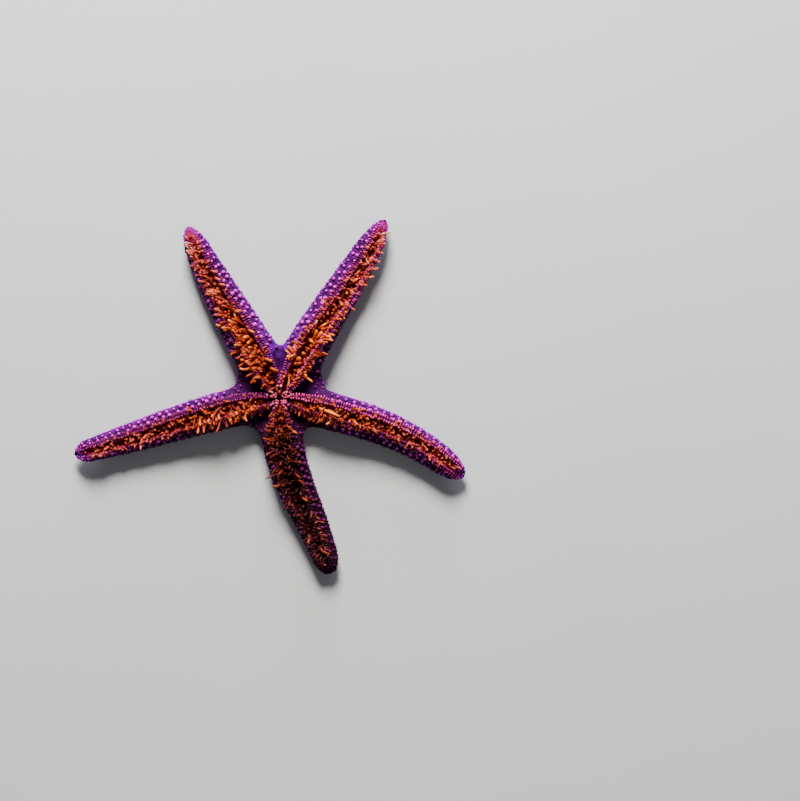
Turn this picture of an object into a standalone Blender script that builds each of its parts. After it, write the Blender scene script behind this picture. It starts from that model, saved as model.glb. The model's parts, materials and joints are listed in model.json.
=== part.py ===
"""A sea star at life size, lying on its back with its tube feet out.

In plan the body is a smooth union of five bent arms and a disc. Over each point of the plan stands an oral
surface and under it an aboral one, and the two meet at the body's edge. Thin gaps part the body into a disc
and two lengths of each arm. A channel runs up the middle of each arm's oral side, and the bed that carries
the tube feet lies in it.

+Z is up, through the mouth. The origin is on the floor, straight under the mouth. Arms are numbered
clockwise as seen from above, and +Y points between arms 1 and 2. Lengths are in metres.
"""

import math
from typing import NamedTuple

import bmesh
import bpy
import numpy as np
from mathutils import Matrix, Vector

# ---------------------------------------------------------------- driving dimensions


class Arm(NamedTuple):
    """An arm's plan: the straight line from the mouth to its tip, and how the arm departs from it."""

    number: int
    heading: float  # direction of the tip from the mouth, in degrees from +X
    reach: float  # from the mouth's axis to the tip
    bow: float  # how far the middle bends to the left, looking outwards
    sway: float  # how much further left the inner half lies than the outer half
    half_width: float  # at the base
    taper: float  # share of the width that is gone at the tip, before its rounding
    lean: float  # how far left the outer arm's channel lies, as a share of the half width
    channel: float  # the channel's half width, per half width of the arm
    tip_lift: float  # how far the tip curls up from the floor


# In counter-clockwise order, so that each arm's left neighbour comes next.
ARMS = (
    Arm(3, heading=-23.2, reach=0.0618, bow=0.0040, sway=-0.0005, half_width=0.0059, taper=0.36,
        lean=0.10, channel=0.40, tip_lift=0.0026),
    Arm(2, heading=59.4, reach=0.0638, bow=0.0005, sway=0.0003, half_width=0.0067, taper=0.57,
        lean=-0.36, channel=0.42, tip_lift=0.0034),
    Arm(1, heading=118.4, reach=0.0599, bow=0.0005, sway=-0.0003, half_width=0.0071, taper=0.60,
        lean=0.22, channel=0.46, tip_lift=0.0040),
    Arm(5, heading=195.4, reach=0.0657, bow=-0.0009, sway=-0.0003, half_width=0.0060, taper=0.50,
        lean=0.18, channel=0.43, tip_lift=0.0030),
    Arm(4, heading=286.2, reach=0.0564, bow=-0.0028, sway=-0.0010, half_width=0.0064, taper=0.48,
        lean=-0.26, channel=0.47, tip_lift=0.0022),
)
DISC_CENTRE = np.array([0.0, 0.0018])
DISC_RADIUS = 0.0136
DISC_WIDTH = 0.0058  # the disc's depth between the arms is that of an arm with this half width
BLEND = 0.10  # softness of the smooth union; a larger one fills the angles between the arms more
TIP_START = 0.91  # share of the reach at which an arm's end begins to round off
ORAL_RATIO = 0.62  # the body's height over its widest line, per half width
ABORAL_RATIO = 0.80  # its depth under that line
ROUNDNESS = 2.3  # 2 gives an elliptic section, more a boxier one
SINK = 0.0004  # how far the round underside is pressed flat where it rests
ARCH = 0.0008  # how far an arm's underside stands off the floor between its two resting places
REST_AT = 0.56  # share of the reach at which an arm rests on the floor

LEAN_FROM, LEAN_TO = 0.20, 0.75  # shares of the reach between which the channel moves to its side
BRIM_MOST = 0.62  # the largest share of the body's half width that it takes at the tip
CHANNEL_DEPTH = 0.0021  # at the arm's base
CHANNEL_BANK = 0.0003  # breadth of its sloping wall
CHANNEL_END = 0.955  # share of the reach
NARROWING = 0.0060  # near the mouth the channel narrows over about this distance
WELL_RADIUS = 0.0030
WELL_DEPTH = 0.0026
GAP = 0.0003  # between pieces that touch

ANGLE_AT = 0.0120  # distance up the midline that is level with the angles between the arms
DISC_STEPS = (0.5, 0.76, 1.0)  # rows of the disc, from the mouth (0) to the angles (1)
STUB_STEPS = (1.05,)
DISC_CUT = 1.10  # where the arms part from the disc, counting on to 2 at the arm's tip
INNER_STEPS = (1.19, 1.28, 1.37)
ARM_CUT = 1.45  # where an arm's two lengths part
OUTER_STEPS = (1.53, 1.61, 1.69, 1.77, 1.85, 1.91, 1.946, 1.974, 1.992, 2.0)
SIDE_STEPS = (0.36, 0.70, 0.92)  # columns, as shares of the way from the channel to the body's edge

SPINE_LENGTH = 0.0009
SPINE_RADIUS = 0.00045
BED_COLUMNS = (-1.0, -0.55, 0.0, 0.55, 1.0)  # shares of the foot bed's half width
BED_RIM = 0.0002  # how far its rims stand over the body
BED_SINK = 0.5  # depth of its V, as a share of the channel's depth
BED_END = 0.93  # share of the reach
FOOT_PAIRS = 14
FOOT_LENGTH = 0.0036
FOOT_STRIDE = 0.2  # how far along the arm a foot leans, against how far it rises
FOOT_ROOM = 0.0016  # breadth of the bed's column at which a foot has its full size
FOOT_RADIUS = 0.00062

MOUTH_SPINES = 12
MOUTH_PROFILE = ((0.0026, 0.0), (0.0026, 0.0014), (0.0018, 0.0021), (0.0008, 0.0014), (0.0006, 0.0005),
                 (0.0006, 0.0))
MOUTH_SPINE_ROW = 2  # the profile's stretch that carries them
MOUTH_SPINE_LENGTH = 0.0014
MOUTH_SPINE_RADIUS = 0.00026

EYE_AT = 0.945
EYE_RADIUS = 0.0004
SIEVE_AT = 0.84  # share of the way from the mouth to the angle between arms 1 and 2
SIEVE_RADIUS = 0.0012
SIEVE_THICKNESS = 0.0005
SIEVE_SAG = 0.0002  # the surface's fall across half the button

PURPLE = (0.16, 0.03, 0.30, 1.0)
ORANGE = (0.85, 0.20, 0.03, 1.0)
PINK = (0.75, 0.30, 0.38, 1.0)
RED = (0.60, 0.02, 0.02, 1.0)
CREAM = (0.80, 0.50, 0.32, 1.0)


# ---------------------------------------------------------------- an arm in plan


def smooth_step(x, low, high):
    """0 below low, 1 above high, and a smooth rise between."""
    x = np.clip((x - low) / (high - low), 0.0, 1.0)
    return x * x * (3.0 - 2.0 * x)


def unit(v):
    return v / np.linalg.norm(v, axis=-1, keepdims=True)


def turned_left(v):
    return np.stack([-v[..., 1], v[..., 0]], -1)


def outward(arm):
    return np.array([math.cos(math.radians(arm.heading)), math.sin(math.radians(arm.heading))])


def midline(arm, t):
    """Points at shares t of the reach: the straight line to the tip, plus two sine waves across it."""
    t = np.asarray(t, float)[..., None]
    across = arm.bow * np.sin(np.pi * t) + arm.sway * np.sin(2 * np.pi * t)
    return arm.reach * t * outward(arm) + across * turned_left(outward(arm))


def tangent(arm, t):
    """The midline's rate of change with t."""
    t = np.asarray(t, float)[..., None]
    slope = np.pi * arm.bow * np.cos(np.pi * t) + 2 * np.pi * arm.sway * np.cos(2 * np.pi * t)
    return arm.reach * outward(arm) + slope * turned_left(outward(arm))


def nearest(arm, xy):
    """For plan points, the share of the reach of the nearest midline point, and the distance to it."""
    t = np.clip(xy @ outward(arm) / arm.reach, 0.0, 1.0)
    for _ in range(3):
        along = tangent(arm, t)
        miss = ((xy - midline(arm, t)) * along).sum(-1)
        t = np.clip(t + miss / (along**2).sum(-1), 0.0, 1.0)
    return t, np.linalg.norm(xy - midline(arm, t), axis=-1)


def trunk_half_width(arm, t):
    """The half width as it would be with no rounding at the tip."""
    return arm.half_width * (1.0 - arm.taper * np.asarray(t, float) ** 2)


def half_width(arm, t):
    """The trunk's half width, rounded off at the tip as a quarter of an ellipse."""
    past = np.clip((np.asarray(t, float) - TIP_START) / (1.0 - TIP_START), 0.0, 1.0)
    return trunk_half_width(arm, t) * np.sqrt(1.0 - past**2) + 1e-7


def lift(arm, t):
    """The underside's height: on the floor at the disc and at REST_AT, arched between, curled up after."""
    arch = ARCH * np.sin(np.pi * np.clip(t / REST_AT, 0.0, 1.0)) ** 2
    return arch + arm.tip_lift * np.clip((t - REST_AT) / (1.0 - REST_AT), 0.0, 1.0) ** 2


# ---------------------------------------------------------------- the body's form


def body_field(xy):
    """Smooth union of the arms and the disc.

    Each gives 1 on its middle, 0 at its edge and less outside. The union is the logarithm of the sum of
    their exponentials, and the half width and the lift at a point are means weighted in the same way.
    """
    inside, widths, lifts = [], [], []
    for arm in ARMS:
        t, apart = nearest(arm, xy)
        inside.append(1.0 - apart / half_width(arm, t))
        widths.append(half_width(arm, t))
        lifts.append(lift(arm, t))
    apart = np.linalg.norm(xy - DISC_CENTRE, axis=-1)
    inside.append(1.0 - apart / DISC_RADIUS)
    widths.append(np.full(apart.shape, DISC_WIDTH))
    lifts.append(np.zeros(apart.shape))
    most = np.max(inside, axis=0)
    weights = np.exp((np.array(inside) - most) / BLEND)
    union = most + BLEND * np.log(weights.sum(axis=0))
    weights /= weights.sum(axis=0)
    return union, (weights * widths).sum(axis=0), (weights * lifts).sum(axis=0)


def surfaces(xy, on_edge):
    """Oral and aboral points over the plan points xy: a superellipse across, its widest line on_edge."""
    inside, width, raised = body_field(xy)
    inside = np.where(on_edge, 0.0, np.clip(inside, 0.0, 1.0))
    bulge = (1.0 - (1.0 - inside) ** ROUNDNESS) ** (1.0 / ROUNDNESS)
    waist = raised + ABORAL_RATIO * width - SINK
    oral = waist + ORAL_RATIO * width * bulge
    aboral = np.maximum(waist - ABORAL_RATIO * width * bulge, 0.0)
    return np.dstack([xy, oral]), np.dstack([xy, aboral])


def edge_from(start, heading):
    """The point where a ray in plan leaves the body: the first change of sign along it."""
    distances = np.linspace(0.0, 0.020, 241)
    along = start[:, None] + distances[:, None] * heading[:, None]
    inside = body_field(along)[0]
    out = np.maximum(np.argmax(inside < 0.0, axis=1), 1)
    pick = np.arange(len(start))
    before, after = inside[pick, out - 1], inside[pick, out]
    distance = distances[out - 1] + (distances[1] - distances[0]) * before / (before - after)
    return start + distance[:, None] * heading


def angle_between(index):
    """The plan point of the angle between an arm and its left neighbour."""
    right, left = ARMS[index % 5], ARMS[(index + 1) % 5]
    level = 0.3
    heading = unit(unit(midline(right, level)) + unit(midline(left, level)))
    return edge_from(np.zeros((1, 2)), heading[None])[0]


def channel_half_width(arm, t):
    from_mouth = 1.0 - np.exp(-np.asarray(t, float) * arm.reach / NARROWING)
    return arm.channel * trunk_half_width(arm, t) * from_mouth


def brim_half_width(arm, t):
    """The channel's half width, kept well inside the body where the tip rounds off."""
    return np.minimum(channel_half_width(arm, t), BRIM_MOST * half_width(arm, t))


def channel_depth(arm, t):
    ending = 1.0 - smooth_step(np.asarray(t, float), CHANNEL_END, CHANNEL_END + 0.01)
    return CHANNEL_DEPTH * trunk_half_width(arm, t) / arm.half_width * ending


def channel_middle(arm, t):
    """The channel leaves the midline for one side as it runs out along the arm."""
    shift = arm.lean * smooth_step(np.asarray(t, float), LEAN_FROM, LEAN_TO) * half_width(arm, t)
    return midline(arm, t) + shift[:, None] * turned_left(unit(tangent(arm, t)))


def share_of_reach(arm, steps):
    """A step's share of the reach: 0 at the mouth, 1 level with the angles, 2 at the tip."""
    level = ANGLE_AT / arm.reach
    return np.where(steps < 1.0, steps * level, level + (steps - 1.0) * (1.0 - level))


def row_ends(index, steps, side):
    """Where the rows end on one side of an arm (1 left, -1 right).

    Rows of the disc end on the line from the mouth to the angle beside the arm, and rows further out end
    on the body's edge. Between the angle and the cut, a row swings round until it is square to the arm.
    """
    arm = ARMS[index]
    angle = angle_between(index if side > 0 else index - 1)
    t = share_of_reach(arm, steps)
    start = midline(arm, t)
    square = side * turned_left(unit(tangent(arm, t)))
    swing = smooth_step(steps, 1.0, DISC_CUT - 0.01)[:, None]
    edge = edge_from(start, unit(unit(angle - start) * (1.0 - swing) + square * swing))
    return np.where((steps <= 1.0)[:, None], steps[:, None] * angle, edge)


def body_plan(index, steps):
    """Plan points of an arm's rows: from its left side, over the channel's banks, to its right side."""
    arm = ARMS[index]
    t = share_of_reach(arm, steps)
    middle = channel_middle(arm, t)
    left = turned_left(unit(tangent(arm, t)))
    brim = brim_half_width(arm, t)[:, None]
    foot = np.maximum(brim - CHANNEL_BANK, 0.5 * brim)
    halves = []
    for side in (1, -1):
        end = row_ends(index, steps, side)
        start = middle + side * brim * left
        between = [start + share * (end - start) for share in SIDE_STEPS]
        halves.append([middle + side * foot * left, start, *between, end])
    return np.stack(halves[0][::-1] + halves[1], axis=1)


def body_grids(index, steps):
    """The body's oral and aboral grids over rows of an arm, with the channel and the well sunk in."""
    arm = ARMS[index]
    steps = np.asarray(steps, float)
    xy = body_plan(index, steps)
    on_edge = np.zeros(xy.shape[:2], bool)
    on_edge[steps >= 1.0, 0] = True
    on_edge[steps >= 1.0, -1] = True
    oral, aboral = surfaces(xy, on_edge)
    t = share_of_reach(arm, steps)
    floor = xy.shape[1] // 2
    oral[:, floor - 1 : floor + 1, 2] -= channel_depth(arm, t)[:, None]
    return oral, aboral


# ---------------------------------------------------------------- meshes


def clear_scene():
    for old in list(bpy.data.objects):
        bpy.data.objects.remove(old, do_unlink=True)


def material(name, colour, roughness):
    made = bpy.data.materials.get(name) or bpy.data.materials.new(name)
    made.use_nodes = True
    shader = made.node_tree.nodes["Principled BSDF"]
    shader.inputs["Base Color"].default_value = colour
    shader.inputs["Roughness"].default_value = roughness
    shader.inputs["Metallic"].default_value = 0.0
    return made


def finish(bm, name, finish_material):
    """Welds coincident points and makes the object, shaded smooth except over sharp edges."""
    bmesh.ops.remove_doubles(bm, verts=bm.verts, dist=2e-6)
    bmesh.ops.recalc_face_normals(bm, faces=bm.faces)
    mesh = bpy.data.meshes.new(name)
    bm.to_mesh(mesh)
    bm.free()
    mesh.materials.append(finish_material)
    mesh.shade_smooth()
    mesh.set_sharp_from_angle(angle=math.radians(50))
    made = bpy.data.objects.new(name, mesh)
    bpy.context.collection.objects.link(made)
    return made


def add_grid(bm, points):
    """Adds a grid of four-sided faces over points[row, column], and returns the faces by row."""
    verts = [[bm.verts.new(p) for p in row] for row in points]
    faces = []
    for near, far in zip(verts, verts[1:]):
        columns = range(len(near) - 1)
        faces.append([bm.faces.new((near[c], near[c + 1], far[c + 1], far[c])) for c in columns])
    return faces


def add_shell(bm, upper, lower, ends, sides=()):
    """Adds an upper and a lower grid, with walls at the end rows and the side columns asked for."""
    faces = add_grid(bm, upper)
    add_grid(bm, lower)
    for row in ends:
        add_grid(bm, np.stack([upper[row], lower[row]]))
    for column in sides:
        add_grid(bm, np.stack([upper[:, column], lower[:, column]]))
    return faces


def grow(bm, face, rings, point=None):
    """Replaces a four-sided face by a stalk that rises through rings of four points, to a point or flat."""
    loop = list(face.verts)
    bm.faces.remove(face)
    for ring in rings:
        verts = [bm.verts.new(p) for p in ring]
        for k in range(4):
            bm.faces.new((loop[k], loop[k - 3], verts[k - 3], verts[k]))
        loop = verts
    if point is None:
        bm.faces.new(loop)
        return
    apex = bm.verts.new(point)
    for k in range(4):
        bm.faces.new((loop[k], loop[k - 3], apex))


def corners_of(face, radius):
    """Four offsets of one length, from a face's middle towards its corners."""
    middle = face.calc_center_median()
    return [radius * (v.co - middle).normalized() for v in face.verts]


def upward(face):
    face.normal_update()
    return face.normal if face.normal.z > 0.0 else -face.normal


def half_gap(arm):
    """Half the gap between two pieces, counted in steps along the arm."""
    return 0.5 * GAP / (arm.reach - ANGLE_AT)


# ---------------------------------------------------------------- sub-parts


def well_floor():
    return surfaces(np.zeros((1, 1, 2)), False)[0][0, 0, 2] - WELL_DEPTH


def make_disc():
    """The disc: the inner rows of all five arms, joined along the lines from the mouth to the angles."""
    bm = bmesh.new()
    for index, arm in enumerate(ARMS):
        well = WELL_RADIUS / ANGLE_AT
        bank = CHANNEL_BANK / ANGLE_AT
        steps = (0.0, well, well + bank, *DISC_STEPS, *STUB_STEPS, DISC_CUT - half_gap(arm))
        oral, aboral = body_grids(index, steps)
        oral[:2, :, 2] = well_floor()
        add_shell(bm, oral, aboral, ends=(-1,))
    return finish(bm, "disc", material("skin", PURPLE, 0.5))


def make_arm_length(index, name, steps, ends):
    """One length of an arm, with a row of low spines along each margin."""
    bm = bmesh.new()
    faces = add_shell(bm, *body_grids(index, steps), ends)
    for row in faces[:-2]:
        for face in (row[1], row[-2]):
            radius = min(SPINE_RADIUS, 0.3 * math.sqrt(face.calc_area()))
            middle = face.calc_center_median()
            ring = [middle + corner for corner in corners_of(face, radius)]
            grow(bm, face, [ring], middle + SPINE_LENGTH * radius / SPINE_RADIUS * upward(face))
    return finish(bm, name, material("skin", PURPLE, 0.5))


def make_arm(index):
    arm = ARMS[index]
    gap = half_gap(arm)
    inner = (DISC_CUT + gap, *INNER_STEPS, ARM_CUT - gap)
    outer = (ARM_CUT + gap, *OUTER_STEPS)
    make_arm_length(index, f"arm_{arm.number}_inner", inner, ends=(0, -1))
    make_arm_length(index, f"arm_{arm.number}_outer", outer, ends=(0,))


def across_channel(arm, t, half, shares):
    """Plan points across the channel, at shares of a half width from its middle, left side positive."""
    left = turned_left(unit(tangent(arm, t)))
    return channel_middle(arm, t)[:, None] + (half[:, None] * shares)[..., None] * left[:, None]


def bed_grids(arm, t):
    """The foot bed's grids: a V on top, its rims at the body's surface, and a flat base on the floor."""
    brim = brim_half_width(arm, t)
    shares = np.array(BED_COLUMNS)
    depth = channel_depth(arm, t)[:, None]
    top = surfaces(across_channel(arm, t, brim - GAP, shares), False)[0]
    top[..., 2] += BED_RIM - (BED_RIM + BED_SINK * depth) * (1.0 - np.abs(shares))
    corners = across_channel(arm, t, brim - CHANNEL_BANK, np.array([-1.0, 1.0]))
    floor = surfaces(corners, False)[0][..., 2] - depth
    way = 0.5 * (1.0 + shares)
    base = floor[:, :1] * (1.0 - way) + floor[:, 1:] * way + GAP
    return top, np.dstack([across_channel(arm, t, brim - CHANNEL_BANK - GAP, shares), base])


def add_foot(bm, face, side, phase):
    """A tube foot: a stalk that rises from the groove's wall, then bends over to its own side.

    Where the bed is narrow, near the mouth and at the tip, the foot is thinner, shorter and more upright.
    """
    middle = face.calc_center_median()
    breadth = (face.verts[1].co - face.verts[0].co).length
    room = min(1.0, breadth / FOOT_ROOM)
    offsets = corners_of(face, FOOT_RADIUS * room)
    along = (face.verts[3].co - face.verts[0].co).normalized()
    across = side * Vector((0, 0, 1)).cross(along)
    length = FOOT_LENGTH * (1.0 + 0.15 * math.sin(2.7 * phase)) * (0.3 + 0.7 * room)
    stride = FOOT_STRIDE * room * math.sin(1.9 * phase + side)
    elbow = middle + 0.5 * length * (0.85 * Vector((0, 0, 1)) + 0.30 * room**3 * across + 0.5 * stride * along)
    end = elbow + 0.5 * length * (0.60 * Vector((0, 0, 1)) + 0.60 * room * across + stride * along)
    grow(bm, face, [[elbow + p for p in offsets], [end + 0.8 * p for p in offsets]])


def make_ambulacrum(index):
    """The groove of one arm: the bed of the tube feet, with a row of feet on each of its walls."""
    arm = ARMS[index]
    bm = bmesh.new()
    start = (WELL_RADIUS + CHANNEL_BANK + GAP) / arm.reach
    t = np.linspace(start, BED_END, FOOT_PAIRS + 1)
    faces = add_shell(bm, *bed_grids(arm, t), ends=(0, -1), sides=(0, -1))
    for pair, row in enumerate(faces):
        add_foot(bm, row[1], -1, pair)
        add_foot(bm, row[2], 1, pair + 0.5)
    return finish(bm, f"ambulacrum_{arm.number}", material("tube_feet", ORANGE, 0.4))


def make_mouth():
    """The mouth: a turned cushion round a hole, with a ring of spines that lean in over it."""
    bm = bmesh.new()
    angles = np.linspace(0.0, 2.0 * np.pi, MOUTH_SPINES + 1)
    around = np.stack([np.cos(angles), np.sin(angles)], -1)
    base = well_floor() + GAP
    radius, height = np.array(MOUTH_PROFILE + MOUTH_PROFILE[:1]).T
    rings = np.empty((len(radius), MOUTH_SPINES + 1, 3))
    rings[..., :2] = radius[:, None, None] * around
    rings[..., 2] = base + height[:, None]
    faces = add_grid(bm, rings)
    for face in faces[MOUTH_SPINE_ROW]:
        middle = face.calc_center_median()
        ring = [middle + p for p in corners_of(face, MOUTH_SPINE_RADIUS)]
        lean = Vector((-middle.x, -middle.y, 0.0)).normalized()
        grow(bm, face, [ring], middle + MOUTH_SPINE_LENGTH * Vector((lean.x, lean.y, 1.1)).normalized())
    return finish(bm, "mouth", material("mouth_skin", PINK, 0.5))


def make_eyespot(index):
    """A red bead at the far end of the arm's channel."""
    arm = ARMS[index]
    t = np.array([EYE_AT])
    xy = channel_middle(arm, t)
    depth = channel_depth(arm, t)[0]
    height = surfaces(xy[None], False)[0][0, 0, 2] - depth + GAP + EYE_RADIUS
    bm = bmesh.new()
    place = Matrix.Translation((*xy[0], height))
    bmesh.ops.create_uvsphere(bm, u_segments=7, v_segments=5, radius=EYE_RADIUS, matrix=place)
    return finish(bm, f"eyespot_{arm.number}", material("eyespot", RED, 0.25))


def make_madreporite():
    """The sieve plate: a round button just off the aboral surface, between arms 1 and 2."""
    xy = SIEVE_AT * angle_between(1)
    around = xy + SIEVE_RADIUS * np.array([[0, 0], [1, 0], [-1, 0], [0, 1], [0, -1]])
    z = surfaces(around[None], False)[1][0, :, 2]
    slope = np.array([z[1] - z[2], z[3] - z[4]]) / (2.0 * SIEVE_RADIUS)
    normal = Vector((slope[0], slope[1], -1.0)).normalized()
    middle = Vector((*xy, z[0])) + (GAP + SIEVE_SAG + 0.5 * SIEVE_THICKNESS) * normal
    bm = bmesh.new()
    turn = normal.to_track_quat("Z", "Y").to_matrix().to_4x4()
    bmesh.ops.create_cone(bm, cap_ends=True, segments=14, radius1=SIEVE_RADIUS, radius2=0.7 * SIEVE_RADIUS,
                          depth=SIEVE_THICKNESS, matrix=Matrix.Translation(middle) @ turn)
    return finish(bm, "madreporite", material("sieve_plate", CREAM, 0.6))


clear_scene()
make_disc()
for arm_index in range(len(ARMS)):
    make_arm(arm_index)
    make_ambulacrum(arm_index)
    make_eyespot(arm_index)
make_mouth()
make_madreporite()
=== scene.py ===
"""Dresses the packed sea star: one seamless skin, and over it the spines, granules and tube feet.

Every surface is worked out from the body's form, a smooth union in plan of five bent arms and a disc, with
an oral height and an aboral height over each plan point. +Z is up, out of the mouth. Lengths are in metres.
"""

import json
import math
from typing import NamedTuple

import bmesh
import bpy
import numpy as np
from bpy.props import FloatProperty, FloatVectorProperty, IntProperty, PointerProperty
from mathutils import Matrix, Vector

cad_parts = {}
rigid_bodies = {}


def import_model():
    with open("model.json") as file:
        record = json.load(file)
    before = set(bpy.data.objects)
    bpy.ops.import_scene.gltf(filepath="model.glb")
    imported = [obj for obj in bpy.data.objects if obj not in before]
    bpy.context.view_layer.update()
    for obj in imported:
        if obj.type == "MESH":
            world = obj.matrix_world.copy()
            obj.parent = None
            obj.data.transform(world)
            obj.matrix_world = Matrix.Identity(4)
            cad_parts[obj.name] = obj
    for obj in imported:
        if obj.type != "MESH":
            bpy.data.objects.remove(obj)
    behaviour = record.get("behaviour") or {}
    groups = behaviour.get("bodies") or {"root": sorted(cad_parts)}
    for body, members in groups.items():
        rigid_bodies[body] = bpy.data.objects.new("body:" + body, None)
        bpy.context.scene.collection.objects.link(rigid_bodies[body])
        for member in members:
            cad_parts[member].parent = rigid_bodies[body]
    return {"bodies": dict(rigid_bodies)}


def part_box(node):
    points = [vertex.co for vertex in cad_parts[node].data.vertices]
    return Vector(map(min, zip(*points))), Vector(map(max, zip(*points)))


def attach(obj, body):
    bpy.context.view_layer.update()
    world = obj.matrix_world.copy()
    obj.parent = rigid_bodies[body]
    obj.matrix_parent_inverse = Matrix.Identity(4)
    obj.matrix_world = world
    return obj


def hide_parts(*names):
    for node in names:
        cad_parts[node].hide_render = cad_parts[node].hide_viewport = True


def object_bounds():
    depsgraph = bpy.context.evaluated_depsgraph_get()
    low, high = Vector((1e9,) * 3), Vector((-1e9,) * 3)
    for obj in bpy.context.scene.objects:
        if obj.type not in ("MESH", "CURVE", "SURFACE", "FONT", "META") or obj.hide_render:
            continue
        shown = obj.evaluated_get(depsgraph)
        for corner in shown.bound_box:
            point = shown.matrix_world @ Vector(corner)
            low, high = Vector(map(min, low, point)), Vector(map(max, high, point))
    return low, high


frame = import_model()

bl_info = {
    "name": "Sea star",
    "version": (1, 0, 0),
    "blender": (4, 5, 0),
    "location": "3D View > Sidebar > Sea star",
    "description": "Skin, spines, tube feet and stage of a life-size sea star on its back",
    "category": "Add Mesh",
}

CAD_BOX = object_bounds()
BODY = next(iter(frame["bodies"]))

# ---------------------------------------------------------------- the body's plan


class Arm(NamedTuple):
    """An arm's plan, and the way its tube feet hang."""

    number: int
    heading: float  # direction of the tip from the mouth, in degrees from +X
    reach: float  # from the mouth's axis to the tip
    bow: float  # how far the middle bends to the left, looking outwards
    sway: float  # how much further left the inner half lies than the outer half
    half_width: float  # at the base, over the spines
    taper: float  # share of the width that is gone at the tip, before its rounding
    lean: float  # how far left the outer arm's groove lies, as a share of the half width
    channel: float  # the groove's half width, per half width of the arm
    tip_lift: float  # how far the tip curls up from the floor
    tip_start: float  # share of the reach at which the end begins to round off
    droop: float  # direction in which the inner feet hang, in degrees from +X
    outer_droop: float  # the same for the outer feet
    hang: float  # how much they hang that way: 0 not at all, 1 mostly
    foot_size: float  # length of the feet, against the usual
    girth: float  # thickness of the feet, against the usual
    sparse: float  # share of the outer half's feet that are drawn in
    warmth_and_shade: float  # how much paler (above 0) or browner (below 0) the feet are than the usual; arm 4's is painted shade
    feelers: float  # direction in which the slender feet at the tip point, in degrees from +X
    combs: tuple  # how bright the combs on its right and left are: partly own colour, partly painted light
    blush: float  # how red the tip is
    shade: float  # painted shade: how much darker the arm is drawn than the others, where less light reaches it
    flanks: tuple  # painted shade: how much darker its right and its left flank are than that, on the flank turned from the key light
    pale: float  # how pale and how many the slender feet at the tip are


# In counter-clockwise order, so that each arm's left neighbour comes next.
ARMS = (
    Arm(3, heading=-23.2, reach=0.0618, bow=0.0040, sway=-0.0005, half_width=0.0059, taper=0.36,
        lean=0.10, channel=0.40, tip_lift=0.0026, tip_start=0.86, droop=255.0, outer_droop=290.0, hang=0.55,
        foot_size=0.85, girth=0.92, sparse=0.40, warmth_and_shade=-0.10, feelers=330.0,
        combs=(0.14, 0.80), blush=0.15, shade=0.0, flanks=(0.66, 0.0), pale=0.15),
    Arm(2, heading=59.4, reach=0.0638, bow=0.0005, sway=0.0003, half_width=0.0067, taper=0.57,
        lean=-0.36, channel=0.42, tip_lift=0.0034, tip_start=0.85, droop=14.0, outer_droop=-10.0, hang=0.45,
        foot_size=0.98, girth=1.10, sparse=0.25, warmth_and_shade=0.05, feelers=8.0,
        combs=(0.95, 0.45), blush=0.7, shade=0.0, flanks=(0.60, 0.0), pale=0.8),
    Arm(1, heading=118.4, reach=0.0599, bow=0.0005, sway=-0.0003, half_width=0.0071, taper=0.60,
        lean=0.22, channel=0.46, tip_lift=0.0040, tip_start=0.87, droop=172.0, outer_droop=150.0, hang=0.74,
        foot_size=1.02, girth=1.20, sparse=0.25, warmth_and_shade=0.0, feelers=142.0,
        combs=(0.25, 0.10), blush=1.0, shade=0.0, flanks=(0.0, 0.60), pale=1.0),
    Arm(5, heading=195.4, reach=0.0657, bow=-0.0009, sway=-0.0003, half_width=0.0060, taper=0.50,
        lean=0.18, channel=0.43, tip_lift=0.0030, tip_start=0.92, droop=268.0, outer_droop=255.0, hang=0.62,
        foot_size=1.0, girth=0.98, sparse=0.84, warmth_and_shade=0.05, feelers=215.0,
        combs=(0.25, 0.10), blush=0.0, shade=0.0, flanks=(0.0, 0.66), pale=0.1),
    Arm(4, heading=286.2, reach=0.0564, bow=-0.0028, sway=-0.0010, half_width=0.0064, taper=0.48,
        lean=-0.26, channel=0.47, tip_lift=0.0022, tip_start=0.91, droop=190.0, outer_droop=335.0, hang=0.25,
        foot_size=1.0, girth=0.80, sparse=0.35, warmth_and_shade=-0.22, feelers=285.0,
        combs=(0.12, 0.15), blush=0.6, shade=0.93, flanks=(0.0, 0.0), pale=0.1),
)
DISC_CENTRE = np.array([0.0, 0.0018])
DISC_RADIUS = 0.0136
DISC_WIDTH = 0.0058  # the disc is as deep between the arms as an arm of this half width
BLEND = 0.10  # softness of the smooth union
ORAL_RATIO = 0.62  # the body's height over its widest line, per half width
ABORAL_RATIO = 0.80  # its depth under that line
ROUNDNESS = 2.3  # 2 gives an elliptic section, more a boxier one
SINK = 0.0004  # how far the round underside is pressed flat where it rests
ARCH = 0.0008  # height of the underside's arch between the disc and where an arm rests
REST_AT = 0.56  # share of the reach at which an arm rests on the floor
LEAN_FROM, LEAN_TO = 0.20, 0.75  # shares of the reach between which the groove moves to its side
NARROWING = 0.0060  # near the mouth the groove narrows over about this distance
ANGLE_AT = 0.0120  # distance up the midline that is level with the angles between the arms
SQUARE_AT = 1.09  # step at which the rows of the grid stand square to the arm
GROOVE_END = 0.962  # share of the reach at which the groove has run out
TIP_ROUNDING = 0.55  # power of the tip's rounding, where 0.5 gives a quarter of an ellipse
GROOVE_MOST = 0.62  # the most that the groove takes of an arm's half width
FLANK_FROM, FLANK_TO = 0.42, 0.66  # shares of the half width over which a flank's painted shade fades in
BACK_SHADE = 0.4  # share of an arm's painted shade that reaches its back
LONGEST_RAY = 0.020  # how far off the body's edge is looked for
GOLDEN = 2.399963  # the golden angle, whose multiples never line up
UP = np.array([0.0, 0.0, 1.0])


def smooth_step(x, low, high):
    """0 below low, 1 above high, and a smooth rise between."""
    x = np.clip((x - low) / (high - low), 0.0, 1.0)
    return x * x * (3.0 - 2.0 * x)


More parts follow.
